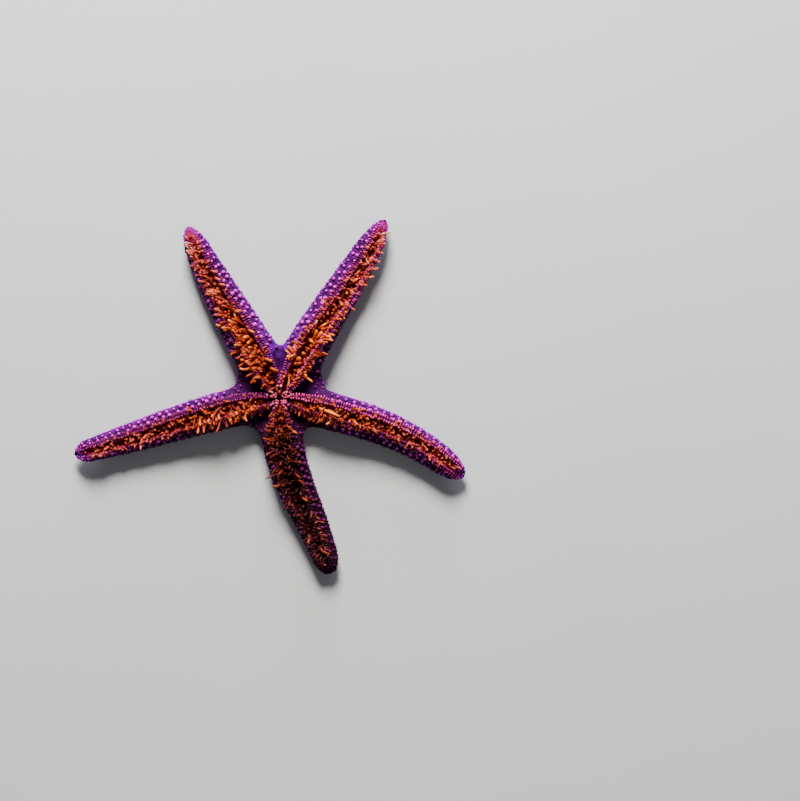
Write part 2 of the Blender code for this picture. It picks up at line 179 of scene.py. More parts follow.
def unit(v):
    """Vectors scaled to a length of 1."""
    return v / np.maximum(np.linalg.norm(v, axis=-1, keepdims=True), 1e-12)


def turned_left(v):
    """Plan vectors turned a quarter turn counter-clockwise."""
    return np.stack([-v[..., 1], v[..., 0]], -1)


def heading_of(degrees):
    """The plan direction at an angle from +X: its cosine and its sine."""
    angle = np.radians(degrees)
    return np.stack([np.cos(angle), np.sin(angle)], -1)


def with_z(xy, z):
    """Plan points or directions with a height, or one height each."""
    return np.concatenate([xy, np.broadcast_to(z, xy.shape[:-1])[..., None]], -1)


def midline(arm, t):
    """Points at shares t of the reach: the straight line to the tip, plus two sine waves across it."""
    t = np.asarray(t, float)[..., None]
    across = arm.bow * np.sin(np.pi * t) + arm.sway * np.sin(2 * np.pi * t)
    return arm.reach * t * heading_of(arm.heading) + across * turned_left(heading_of(arm.heading))


def tangent(arm, t):
    """The midline's rate of change with t."""
    t = np.asarray(t, float)[..., None]
    slope = np.pi * arm.bow * np.cos(np.pi * t) + 2 * np.pi * arm.sway * np.cos(2 * np.pi * t)
    return arm.reach * heading_of(arm.heading) + slope * turned_left(heading_of(arm.heading))


def nearest(arm, xy):
    """Share of the reach of the nearest midline point: a projection, then three Newton steps."""
    t = np.clip(xy @ heading_of(arm.heading) / arm.reach, 0.0, 1.0)
    for _ in range(3):
        along = tangent(arm, t)
        miss = ((xy - midline(arm, t)) * along).sum(-1)
        t = np.clip(t + miss / (along**2).sum(-1), 0.0, 1.0)
    return t


def trunk_half_width(arm, t):
    """The half width as it would be with no rounding at the tip."""
    return arm.half_width * (1.0 - arm.taper * np.asarray(t, float) ** 2)


def half_width(arm, t):
    """The trunk's half width, rounded off at the tip nearly as a quarter of an ellipse."""
    past = np.clip((np.asarray(t, float) - arm.tip_start) / (1.0 - arm.tip_start), 0.0, 1.0)
    return trunk_half_width(arm, t) * (1.0 - past**2) ** TIP_ROUNDING + 1e-7


def lift(arm, t):
    """The underside's height: on the floor at the disc and at REST_AT, arched between, curled up after."""
    arch = ARCH * np.sin(np.pi * np.clip(t / REST_AT, 0.0, 1.0)) ** 2
    return arch + arm.tip_lift * np.clip((t - REST_AT) / (1.0 - REST_AT), 0.0, 1.0) ** 2


def groove_half_width(arm, t):
    """Grows from nothing at the mouth as one less an exponential, then follows the arm's width."""
    from_mouth = 1.0 - np.exp(-np.asarray(t, float) * arm.reach / NARROWING)
    return np.minimum(arm.channel * trunk_half_width(arm, t) * from_mouth, GROOVE_MOST * half_width(arm, t))


def groove_shift(arm, t):
    """How far left of the midline the groove has moved at a share of the reach."""
    return arm.lean * smooth_step(np.asarray(t, float), LEAN_FROM, LEAN_TO) * half_width(arm, t)


def past_disc(t):
    """How much of its painted shade an arm has at a share of its reach: none at the mouth, all past the
    disc.
    """
    return smooth_step(t, 0.05, 0.25)


def shade_of(arm, xy):
    """How dark an arm's coat is drawn at plan points: its painted shade.

    It is the arm's painted shade and that of its flanks, which fades in past the disc.
    """
    t = nearest(arm, xy)
    off = ((xy - midline(arm, t)) * turned_left(unit(tangent(arm, t)))).sum(-1) - groove_shift(arm, t)
    flank = np.where(off > 0.0, arm.flanks[1], arm.flanks[0])
    flank = flank * smooth_step(np.abs(off) / trunk_half_width(arm, t), FLANK_FROM, FLANK_TO)
    return np.clip(arm.shade * smooth_step(t, 0.03, 0.18) + flank * past_disc(t), 0.0, 1.0)


def body_field(xy):
    """Smooth union of the arms and the disc, and each plan point's place beside the nearest groove.

    Each form gives 1 on its middle and 0 at its edge. The union is the logarithm of the sum of their
    exponentials, and the half width and the lift are means weighted in the same way.
    """
    inside, widths, lifts, beyond, ratio, fade = [], [], [], [], [], []
    for arm in ARMS:
        t = nearest(arm, xy)
        off = xy - midline(arm, t)
        along = unit(tangent(arm, t))
        inside.append(1.0 - np.linalg.norm(off, axis=-1) / half_width(arm, t))
        widths.append(half_width(arm, t))
        lifts.append(lift(arm, t))
        lateral = (off * turned_left(along)).sum(-1) - groove_shift(arm, t)
        apart = np.hypot(lateral, (off * along).sum(-1))
        brim = np.maximum(groove_half_width(arm, t), 1e-5)
        beyond.append(apart - brim)
        ratio.append(apart / brim)
        fade.append(1.0 - smooth_step(t, GROOVE_END - 0.05, GROOVE_END))
    inside.append(1.0 - np.linalg.norm(xy - DISC_CENTRE, axis=-1) / DISC_RADIUS)
    widths.append(np.full(xy.shape[:-1], DISC_WIDTH))
    lifts.append(np.zeros(xy.shape[:-1]))
    most = np.max(inside, axis=0)
    weights = np.exp((np.array(inside) - most) / BLEND)
    union = most + BLEND * np.log(weights.sum(axis=0))
    weights /= weights.sum(axis=0)
    closest = np.argmin(beyond, axis=0)[None]
    pick = [np.take_along_axis(np.array(values), closest, 0)[0] for values in (beyond, ratio, fade)]
    return union, (weights * widths).sum(axis=0), (weights * lifts).sum(axis=0), *pick


def edge_from(start, heading):
    """The point where a ray in plan leaves the body: the first change of sign along it."""
    distances = np.linspace(0.0, LONGEST_RAY, 161)
    inside = body_field(start[:, None] + distances[:, None] * heading[:, None])[0]
    out = np.maximum(np.argmax(inside < 0.0, axis=1), 1)
    pick = np.arange(len(start))
    before, after = inside[pick, out - 1], inside[pick, out]
    distance = distances[out - 1] + distances[1] * before / (before - after)
    return start + distance[:, None] * heading


def angle_between(index):
    """The plan point of the angle between an arm and its left neighbour."""
    right, left = ARMS[index % 5], ARMS[(index + 1) % 5]
    heading = unit(unit(midline(right, 0.3)) + unit(midline(left, 0.3)))
    return edge_from(np.zeros((1, 2)), heading[None])[0]


def share_of_reach(arm, steps):
    """A step's share of the reach: 0 at the mouth, 1 level with the angles, 2 at the tip."""
    level = ANGLE_AT / arm.reach
    return np.where(steps < 1.0, steps * level, level + (steps - 1.0) * (1.0 - level))


def step_of_share(arm, t):
    """The step at a share of the reach, which is share_of_reach the other way round."""
    level = ANGLE_AT / arm.reach
    return np.where(t < level, t / level, 1.0 + (t - level) / (1.0 - level))


TABLE_STEPS = np.concatenate([np.linspace(0.0, 1.0, 60), np.linspace(1.0, 2.0, 260)[1:]])


def row_ends(index, side):
    """Where the rows end on one side of an arm (1 left, -1 right), for each of TABLE_STEPS.

    Rows of the disc end on the line from the mouth to the angle beside the arm, and rows further out end
    on the body's edge, swinging round until they are square to the arm.
    """
    arm = ARMS[index]
    angle = angle_between(index if side > 0 else index - 1)
    t = share_of_reach(arm, TABLE_STEPS)
    start = midline(arm, t)
    square = side * turned_left(unit(tangent(arm, t)))
    swing = smooth_step(TABLE_STEPS, 1.0, SQUARE_AT)[:, None]
    edge = edge_from(start, unit(unit(angle - start) * (1.0 - swing) + square * swing))
    return np.where((TABLE_STEPS <= 1.0)[:, None], TABLE_STEPS[:, None] * angle, edge)


ROW_ENDS = {(index, side): row_ends(index, side) for index in range(5) for side in (1, -1)}

# ---------------------------------------------------------------- the skin's surface

GROOVE_SHARE = 0.34  # share of the oral side's columns, from the middle out, that lie in the groove
RIDGE_SPREAD = 0.0005  # how quickly the ridge beside a groove falls off
VALLEY_FROM, VALLEY_TO = 0.009, 0.018  # distances from the mouth between which the hollows run out
WELL_FLOOR, WELL_BRIM = 0.0012, 0.0036  # distances from the mouth between which the well's wall rises
UNEVEN, BACK_UNEVEN = 0.00006, 0.00004  # depth of the skin's unevenness on its oral and aboral side
FLOOR_SOFTNESS = 0.0003  # height over which the underside turns to run along the floor
ROOT_SINK = 0.0002  # how deep combs, feelers and the spines at the mouth are rooted in the skin
FOOT_SINK = 0.0004  # how deep tube feet are


def skin_sizes():
    """The skin's settings."""
    return bpy.context.scene.sea_star_body


def undulation(xy, sign):
    """A gentle unevenness of the skin: a sum of five sine waves across the plan."""
    total = np.zeros(xy.shape[:-1])
    for k in range(5):
        wave = heading_of(math.degrees(GOLDEN * (k + 1.5 * sign)))
        total += np.sin((xy @ wave) * (900.0 + 260.0 * k) + 1.7 * k)
    return total / 5.0


def bulging(xy, on_edge):
    """The bulge over plan points, a superellipse that is 0 on the edge and 1 on the middles.

    Gives the height of the widest line next, and then what body_field gives, but for its first value and
    its lift.
    """
    inside, width, raised, *beside = body_field(xy)
    inside = np.clip(inside, 0.0, 1.0)
    if on_edge is not None:
        inside = np.where(on_edge, 0.0, inside)
    bulge = (1.0 - (1.0 - inside) ** ROUNDNESS) ** (1.0 / ROUNDNESS)
    return bulge, raised + ABORAL_RATIO * width - SINK, width, *beside


def oral_z(xy, on_edge=None):
    """Height of the oral skin: the body's bulge, less the coat, the grooves, the hollows and the well."""
    size = skin_sizes()
    bulge, waist, width, beyond, ratio, fade = bulging(xy, on_edge)
    from_mouth = np.linalg.norm(xy, axis=-1)
    z = waist + (ORAL_RATIO * width - size.coat) * bulge
    depth = size.groove_depth * width / DISC_WIDTH * fade
    z -= depth * np.clip(1.0 - ratio**1.7, 0.0, 1.0) * smooth_step(from_mouth, 0.0, 0.004)
    z += size.ridge * np.exp(-((beyond / RIDGE_SPREAD) ** 2)) * fade * smooth_step(from_mouth, 0.001, 0.004)
    valley = smooth_step(beyond, 0.0005, 0.0019) * (1.0 - smooth_step(from_mouth, VALLEY_FROM, VALLEY_TO))
    z -= size.valley_depth * valley * bulge
    z -= size.well_depth * (1.0 - smooth_step(from_mouth, WELL_FLOOR, WELL_BRIM))
    return z + UNEVEN * undulation(xy, 1) * bulge


def aboral_z(xy, on_edge=None):
    """Height of the aboral skin: the bulge turned down, kept softly off the floor by the coat's spines."""
    size = skin_sizes()
    bulge, waist, width = bulging(xy, on_edge)[:3]
    z = waist - (ABORAL_RATIO * width - size.coat) * bulge
    above = FLOOR_SOFTNESS * np.logaddexp(0.0, (z - size.standoff) / FLOOR_SOFTNESS)
    return size.standoff + above - BACK_UNEVEN * undulation(xy, -1) * bulge


def plan_points(index, steps, columns, oral):
    """Plan points for pairs of steps and columns: columns run from -1 on the right edge to 1 on the left.

    On the oral side the inner share of columns spans the groove. Beyond it, and all over the aboral side,
    the way to the edge is the sine of a quarter turn, which crowds the rows where the flank turns under.
    """
    arm = ARMS[index]
    t = share_of_reach(arm, steps)
    side = np.where(columns >= 0.0, 1.0, -1.0)
    size = np.abs(columns)
    ends = [np.stack([np.interp(steps, TABLE_STEPS, line) for line in ROW_ENDS[index, sign].T], -1)
            for sign in (1, -1)]
    end = np.where((side > 0)[..., None], *ends)
    if not oral:
        return midline(arm, t) + np.sin(0.5 * np.pi * size)[..., None] * (end - midline(arm, t))
    left = turned_left(unit(tangent(arm, t)))
    middle = midline(arm, t) + groove_shift(arm, t)[..., None] * left
    brim = middle + (side * groove_half_width(arm, t))[..., None] * left
    in_groove = middle + (size / GROOVE_SHARE)[..., None] * (brim - middle)
    way = np.sin(0.5 * np.pi * np.clip((size - GROOVE_SHARE) / (1.0 - GROOVE_SHARE), 0.0, 1.0))
    on_flank = brim + way[..., None] * (end - brim)
    return np.where((size < GROOVE_SHARE)[..., None], in_groove, on_flank)


def skin_points(index, steps, columns, oral=True):
    """Points of the skin for pairs of steps and columns of one arm, on its oral or aboral side."""
    xy = plan_points(index, steps, columns, oral)
    on_edge = (np.abs(columns) > 0.9999) & (steps >= 1.0)
    return with_z(xy, oral_z(xy, on_edge) if oral else aboral_z(xy, on_edge))


def skin_frames(index, steps, columns, oral=True):
    """Points of the skin with their outward normals and directions along the arm, from differences."""
    near = 2e-3
    across = skin_points(index, steps, np.clip(columns + near, -0.999, 0.999), oral)
    across -= skin_points(index, steps, np.clip(columns - near, -0.999, 0.999), oral)
    along = skin_points(index, np.clip(steps + near, 0, 1.999), columns, oral)
    along -= skin_points(index, np.clip(steps - near, 0.0, 1.999), columns, oral)
    normal = unit(np.cross(along, across))
    return skin_points(index, steps, columns, oral), normal if oral else -normal, unit(along)


def unwrap(index, steps, columns, oral=True):
    """The skin's unwrap: a fifth of the square for each arm, its oral side under its aboral side."""
    u = 0.2 * index + 0.1 + 0.092 * columns
    v = 0.012 + 0.476 * share_of_reach(ARMS[index], steps)
    return np.stack([u, v if oral else v + 0.5], -1)


# ---------------------------------------------------------------- meshes and materials


def new_object(name, verts, quads, tris, corner_uv, attributes, made_material):
    """Makes a smooth mesh object from arrays, with its OFBake map and its float attributes."""
    mesh = bpy.data.meshes.new(name)
    loops = np.concatenate([quads.ravel(), tris.ravel()]).astype(np.int32)
    starts = np.concatenate([np.arange(len(quads)) * 4, len(quads) * 4 + np.arange(len(tris)) * 3])
    mesh.vertices.add(len(verts))
    mesh.vertices.foreach_set("co", np.ascontiguousarray(verts, np.float32).ravel())
    mesh.loops.add(len(loops))
    mesh.loops.foreach_set("vertex_index", loops)
    mesh.polygons.add(len(starts))
    mesh.polygons.foreach_set("loop_start", starts.astype(np.int32))
    mesh.update(calc_edges=True)
    mesh.uv_layers.new(name="OFBake").data.foreach_set("uv", corner_uv.astype(np.float32).ravel())
    for key, values in attributes.items():
        layer = mesh.attributes.new(key, "FLOAT", "POINT")
        layer.data.foreach_set("value", np.ascontiguousarray(values, np.float32))
    mesh.materials.append(made_material)
    mesh.validate()
    mesh.shade_smooth()
    made = bpy.data.objects.new(name, mesh)
    bpy.context.collection.objects.link(made)
    return made


ROOT_PATCH = 0.0015  # radius of a stalk's patch of the unwrap
PATCH_TOP = 0.16  # share of that radius that its last ring has
POLE_IN, POLE_OUT = 0.3, 0.5  # how far a stalk's poles are past its ends, per radius there


def all_round(sides):
    """Plan directions spread evenly over a full turn."""
    return heading_of(np.arange(sides) * 360.0 / sides)


def ring_mesh(rings, sides, inner):
    """A stack of rings closed by two poles: its quads, triangles, unwrap and shares of the height.

    Points are numbered ring by ring. Then come the first ring's pole and the last ring's. The unwrap spreads
    them over a disc, with the first ring at a radius of 1 and the last one at inner.
    """
    k = np.arange(sides)
    after = (k + 1) % sides
    row = (np.arange(rings - 1) * sides)[:, None]
    quads = np.stack([row + k, row + after, row + sides + after, row + sides + k], -1).reshape(-1, 4)
    top, pole = (rings - 1) * sides, rings * sides
    cap = np.stack([top + k, top + after, np.full(sides, pole + 1)], -1)
    foot = np.stack([after, k, np.full(sides, pole)], -1)
    spread = np.linspace(1.0, inner, rings)[:, None, None] * all_round(sides)
    places = np.concatenate([spread.reshape(-1, 2), np.zeros((2, 2))])
    height = np.append(np.repeat(np.linspace(0.0, 1.0, rings), sides), [0.0, 1.0])
    return quads, np.concatenate([cap, foot]), places, height


def stalks(name, paths, radii, sides, roots, attributes, made_material, patch=ROOT_PATCH):
    """Many round stalks in one mesh: rings of points carried along each path, closed by two poles.

    A ring's points are its centre plus the radius times the cosine and the sine along two directions
    square to the path. Each stalk's faces fill a small round patch of the unwrap at its root's place.
    """
    count, rings = radii.shape
    along = unit(np.gradient(paths, axis=1))
    helper = np.where(np.abs(along[:, :1, 2:]) < 0.9, UP, [1.0, 0.0, 0.0])
    first = unit(np.cross(helper, along))
    second = np.cross(along, first)
    turn = all_round(sides)
    spokes = turn[:, :1] * first[:, :, None] + turn[:, 1:] * second[:, :, None]
    body = paths[:, :, None] + radii[:, :, None, None] * spokes
    base = paths[:, :1] - POLE_IN * radii[:, :1, None] * along[:, :1]
    tip = paths[:, -1:] + POLE_OUT * radii[:, -1:, None] * along[:, -1:]
    verts = np.concatenate([body.reshape(count, -1, 3), base, tip], axis=1)
    each = verts.shape[1]
    quads, tris, places, height = ring_mesh(rings, sides, PATCH_TOP)
    quad_uv, tri_uv = patch * places[quads], patch * places[tris]
    tri_uv[sides:, 2] = 1.3 * patch * heading_of((np.arange(sides) + 0.5) * 360.0 / sides)
    corner_uv = [(roots[:, None, None] + corners).reshape(-1, 2) for corners in (quad_uv, tri_uv)]
    values = {"height": np.tile(height, count)}
    values.update({key: np.repeat(per_stalk, each) for key, per_stalk in attributes.items()})
    shift = (np.arange(count) * each)[:, None, None]
    return new_object(name, verts.reshape(-1, 3), (quads + shift).reshape(-1, 4),
                      (tris + shift).reshape(-1, 3), np.concatenate(corner_uv), values, made_material)


def joined(parts):
    """Joins the paths, radii, roots, tones and shades of several lots of stalks."""
    paths, radii, roots, tone, shade = (np.concatenate(arrays) for arrays in zip(*parts))
    return paths, radii, roots, {"tone": tone, "shade": shade}


def dress(piece, slot, *nodes):
    """Rides the piece on the body, in place of the CAD nodes named. The slot is not used."""
    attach(piece, BODY)
    if nodes:
        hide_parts(*nodes)


PAINTED_SHADE_COLOUR = (0.015, 0.0015, 0.004, 1.0)  # the colour of every piece in full painted shade


class Finish:
    """A procedural material in the making. Patterns read Object coordinates or the piece's attributes."""

    def __init__(self, name, roughness, subsurface=0.0, depth=0.0008, specular=0.5):
        self.material = bpy.data.materials.new(name)
        self.material.use_nodes = True
        self.tree = self.material.node_tree
        self.shader = self.tree.nodes["Principled BSDF"]
        self.fill(self.shader, {"Roughness": roughness, "Specular IOR Level": specular,
                                "Subsurface Weight": subsurface, "Subsurface Scale": depth,
                                "Subsurface Radius": (1.0, 0.35, 0.25)})

    def fill(self, node, values):
        """Sets a node's sockets, or links them where the value is another node's socket."""
        for key, value in values.items():
            if isinstance(value, bpy.types.NodeSocket):
                self.tree.links.new(value, node.inputs[key])
            else:
                node.inputs[key].default_value = value

    def node(self, kind, values, **settings):
        """A new node with its settings and its sockets' values."""
        made = self.tree.nodes.new("ShaderNode" + kind)
        for key, value in settings.items():
            setattr(made, key, value)
        self.fill(made, values)
        return made

    def place(self):
        return self.node("TexCoord", {}).outputs["Object"]

    def attribute(self, name):
        return self.node("Attribute", {}, attribute_name=name).outputs["Fac"]

    def noise(self, scale, detail=2.0, distortion=0.0):
        values = {"Vector": self.place(), "Scale": scale, "Detail": detail, "Distortion": distortion}
        return self.node("TexNoise", values).outputs["Fac"]

    def cells(self, scale):
        return self.node("TexVoronoi", {"Vector": self.place(), "Scale": scale}).outputs["Distance"]

    def times(self, a, b):
        return self.node("Math", {0: a, 1: b}, operation="MULTIPLY").outputs["Value"]

    def plus(self, a, b):
        return self.node("Math", {0: a, 1: b}, operation="ADD").outputs["Value"]

    def level(self, value, low, high, to_low=0.0, to_high=1.0):
        """The value's run from low to high, stretched to to_low and to_high and clamped."""
        values = {"Value": value, "From Min": low, "From Max": high, "To Min": to_low, "To Max": to_high}
        return self.node("MapRange", values).outputs["Result"]

    def mix(self, factor, a, b):
        return self.node("Mix", {0: factor, 6: a, 7: b}, data_type="RGBA").outputs[2]

    def ramp(self, value, stops):
        """A colour that runs through the stops, each a position and a colour."""
        made = self.node("ValToRGB", {"Fac": value})
        elements = made.color_ramp.elements
        while len(elements) < len(stops):
            elements.new(0.5)
        for element, (position, colour) in zip(elements, stops):
            element.position = position
            element.color = colour
        return made.outputs["Color"]

    def bump(self, height, distance, strength=1.0, **after):
        """A bump over the height, after another bump if Normal gives one."""
        values = {"Height": height, "Distance": distance, "Strength": strength, **after}
        return self.node("Bump", values).outputs["Normal"]

    def done(self, colour, **sockets):
        """The material, with its colour darkened by the piece's painted shade and the other sockets filled.
        """
        colour = self.mix(self.attribute("shade"), colour, PAINTED_SHADE_COLOUR)
        self.fill(self.shader, {"Base Color": colour, **sockets})
        return self.material


def rgba(colour, gain=1.0):
    """A colour setting, made brighter or darker, with an alpha of 1."""
    return (colour[0] * gain, colour[1] * gain, colour[2] * gain, 1.0)


def colour_property(name, default, description):
    return FloatVectorProperty(name=name, description=description, default=default, subtype="COLOR",
                               size=3, min=0.0, max=1.0)


def length_property(name, default, description):
    return FloatProperty(name=name, description=description, default=default, unit="LENGTH",
                         subtype="DISTANCE", min=0.0, precision=5)


def place_property(name, default, description):
    return FloatProperty(name=name, description=description, default=default, unit="LENGTH", precision=4)


def strength_property(name, default, description):
    return FloatProperty(name=name, description=description, default=default, min=0.0)


def count_property(name, default, description, least=0):
    return IntProperty(name=name, description=description, default=default, min=least)


class SeaStarBody(bpy.types.PropertyGroup):
    """Sizes of the skin."""

    coat: length_property("Coat", 0.0006, "Depth of the spines over the skin")
    standoff: length_property("Standoff", 0.0005, "How far the skin's underside is kept off the floor")
    groove_depth: length_property("Groove depth", 0.0021, "Depth of the groove at an arm's base")
    ridge: length_property("Ridge", 0.0004, "Height of the ridge along each side of a groove")
    valley_depth: length_property("Valley depth", 0.0024, "Depth of the hollows between the arms' bases")
    well_depth: length_property("Well depth", 0.0022, "Depth of the hollow round the mouth")
    rows: count_property("Rows", 190, "Rows of the skin's mesh along each arm", 20)
    oral_columns: count_property("Oral columns", 56, "Columns of the mesh across an arm's oral side", 8)
    aboral_columns: count_property("Aboral columns", 32, "Columns of the mesh across its aboral side", 8)


class SeaStarCoat(bpy.types.PropertyGroup):
    """Sizes and spacing of what stands on the skin."""

    spine_length: length_property("Spine length", 0.00095, "Length of a flank spine")
    spine_radius: length_property("Spine radius", 0.00062, "Radius of a flank spine's knob")
    spine_spacing: length_property("Spine spacing", 0.0023, "Distance between spines along a row")
    comb_length: length_property("Comb length", 0.0014, "Length of a spine beside the groove")
    comb_radius: length_property("Comb radius", 0.00027, "Radius of a spine beside the groove")
    comb_spacing: length_property("Comb spacing", 0.00080, "Distance between the spines of a comb")
    granule_radius: length_property("Granule radius", 0.00020, "Radius of the granules between the spines")
    granules: count_property("Granules", 900, "Granules on each arm")
    mouth_length: length_property("Mouth spine length", 0.0018, "Length of the longest spine at the mouth")
    mouth_radius: length_property("Mouth spine radius", 0.00040, "Radius of the thickest spine at the mouth")
    eye_radius: length_property("Eyespot radius", 0.00042, "Radius of an eyespot")
    plate_radius: length_property("Sieve plate radius", 0.00125, "Radius of the sieve plate")
    seed: count_property("Seed", 11, "Start of the random draws")


class SeaStarFeet(bpy.types.PropertyGroup):
    """Sizes of the tube feet."""

    length: length_property("Length", 0.0044, "Length of a usual tube foot")
    radius: length_property("Radius", 0.00044, "Radius of a usual tube foot")
    pairs: count_property("Pairs", 78, "Pairs of tube feet along each groove", 4)
    crowd: count_property("Crowd", 66, "Pairs of short feet under the others", 4)
    bunches: count_property("Bunches", 17, "Bunches that the feet gather in along an arm", 1)
    feelers: count_property("Feelers", 10, "Slender feeler feet at each tip")
    feeler_length: length_property("Feeler length", 0.0034, "Length of the longest feeler")
    feeler_radius: length_property("Feeler radius", 0.00022, "Radius of a feeler")


class SeaStarColours(bpy.types.PropertyGroup):
    """Colours of the animal."""

    violet: colour_property("Violet", (0.080, 0.0005, 0.105), "The skin's usual colour")
    bright: colour_property("Bright violet", (0.17, 0.002, 0.22), "Its lighter patches")
    magenta: colour_property("Magenta", (0.13, 0.001, 0.062), "The skin beside the grooves")
    crimson: colour_property("Crimson", (0.42, 0.010, 0.075), "The skin of the tips")
    # Edge is a painted rim highlight along the body's widest line, and also paints the light toward +Y.
    edge: colour_property("Edge", (0.13, 0.004, 0.30), "The skin along the body's widest line")
    indigo: colour_property("Indigo", (0.024, 0.0003, 0.040), "Its dark patches between the spines")
    # Navy is the colour of the skin's pits, and also painted shade in the hollows between the arms.
    navy: colour_property("Navy", (0.022, 0.001, 0.028), "The hollows between the arms")
    maroon: colour_property("Maroon", (0.075, 0.003, 0.018), "The grooves' floors")
    knob: colour_property("Knob", (0.70, 0.026, 0.53), "The spines' pink ends")
    lavender: colour_property("Lavender", (0.37, 0.016, 0.52), "The spines' ends on the flanks and the back")
    comb: colour_property("Comb", (0.72, 0.060, 0.22), "The ends of the spines beside the grooves")
    coral: colour_property("Coral", (0.72, 0.16, 0.11), "The ends of the spines at the mouth")
    root: colour_property("Foot root", (0.125, 0.005, 0.008), "A tube foot's root")
    orange: colour_property("Orange", (0.62, 0.074, 0.005), "A tube foot's stem")
    peach: colour_property("Peach", (0.98, 0.26, 0.030), "A tube foot's end")
    rose: colour_property("Rose", (0.66, 0.110, 0.100), "What the feet flush with toward the arms' tips")
    feeler: colour_property("Feeler", (0.46, 0.08, 0.09), "A pale feeler's stem")
    feeler_end: colour_property("Feeler end", (0.66, 0.34, 0.30), "A pale feeler's end")
    eye: colour_property("Eyespot", (0.50, 0.010, 0.006), "The eyespots")
    sieve: colour_property("Sieve plate", (0.80, 0.46, 0.24), "The sieve plate")
    floor: colour_property("Floor", (0.60, 0.60, 0.595), "The stage's floor")


# ---------------------------------------------------------------- pieces


def grid_quads(rows, columns, flip):
    """Corner numbers of a grid's quads, row by row, wound the other way round if flip."""
    row, column = np.meshgrid(np.arange(rows - 1), np.arange(columns - 1), indexing="ij")
    a = row * columns + column
    quads = np.stack([a, a + 1, a + columns + 1, a + columns], -1).reshape(-1, 4)
    return quads[:, ::-1] if flip else quads


def weld(piece, distance):
    """Merges the points that the grids share along their seams and at the poles."""
    bm = bmesh.new()
    bm.from_mesh(piece.data)
    bmesh.ops.remove_doubles(bm, verts=bm.verts, dist=distance)
    bmesh.ops.dissolve_degenerate(bm, edges=bm.edges, dist=1e-7)
    bmesh.ops.recalc_face_normals(bm, faces=bm.faces)
    bm.to_mesh(piece.data)
    bm.free()
    piece.data.shade_smooth()


SHADE_BLEND = 0.0015  # distance over which an arm's painted shade gives way to its neighbour's
RIM_SPREAD = 0.0019  # how far the rim's colour spreads from the groove
TIP_SPREAD = 0.0008  # how far the red of a tip does
EDGE_HIGHLIGHT_SPREAD = 0.10  # how far the edge's painted rim highlight spreads, as a share of the way in to the middle


def zones(xy, oral):
    """How much each skin point belongs to the groove, its rim, the hollows, the mouth, the edge and a tip.

    The hollows carry painted shade and the edge a painted rim highlight. The hollow toward +Y, where the key
    light stands, is shorter than the others and paler at its outer end, which is painted light. The shade is
    the arms' painted shades, weighted by the exponential of each arm's nearness.
    """
    inside, _, _, beyond, ratio, fade = body_field(xy)
    from_mouth = np.linalg.norm(xy, axis=-1)
    outside = np.maximum(beyond, 0.0)
    shares = [nearest(arm, xy) for arm in ARMS]
    away = np.stack([np.linalg.norm(xy - midline(arm, t), axis=-1) for arm, t in zip(ARMS, shares)])
    near = np.exp(-away / SHADE_BLEND)
    near /= near.sum(axis=0)
    shade = (near * np.stack([shade_of(arm, xy) for arm in ARMS])).sum(axis=0)
    reddened = np.max([arm.blush * smooth_step(t, 0.865, 0.93) for arm, t in zip(ARMS, shares)], axis=0)
    # Painted light and shade: toward +Y, where the key light stands, the hollow's painted shade is shorter
    # and its skin brightened.
    north = smooth_step(xy[..., 1] / np.maximum(from_mouth, 1e-6), 0.80, 0.96)
    near_mouth = 1.0 - smooth_step(from_mouth, 0.0140 - 0.0040 * north, 0.0205 - 0.0045 * north)
    on = 1.0 if oral else 0.0
    return {
        "groove": on * (1.0 - smooth_step(ratio, 0.75, 1.02)) * fade,
        "rim": on * np.exp(-((outside / RIM_SPREAD) ** 2)),
        # painted shade in the hollows between the arms' bases
        "valley": on * smooth_step(beyond, 0.0003, 0.0015) * near_mouth,
        # painted light in the hollow toward the key light
        "north": on * north * (1.0 - smooth_step(from_mouth, 0.014, 0.030)),
        "throat": on * (1.0 - smooth_step(from_mouth, 0.0012, 0.0032)),
        "oral": np.full(from_mouth.shape, on),
        # painted rim highlight along the body's widest line
        "edge": np.exp(-((np.clip(inside, 0.0, 1.0) / EDGE_HIGHLIGHT_SPREAD) ** 2)),
        "tip": on * np.exp(-((outside / TIP_SPREAD) ** 2)) * reddened,
        # painted shade of the arms, less on the back
        "shade": shade * (1.0 if oral else BACK_SHADE),
    }


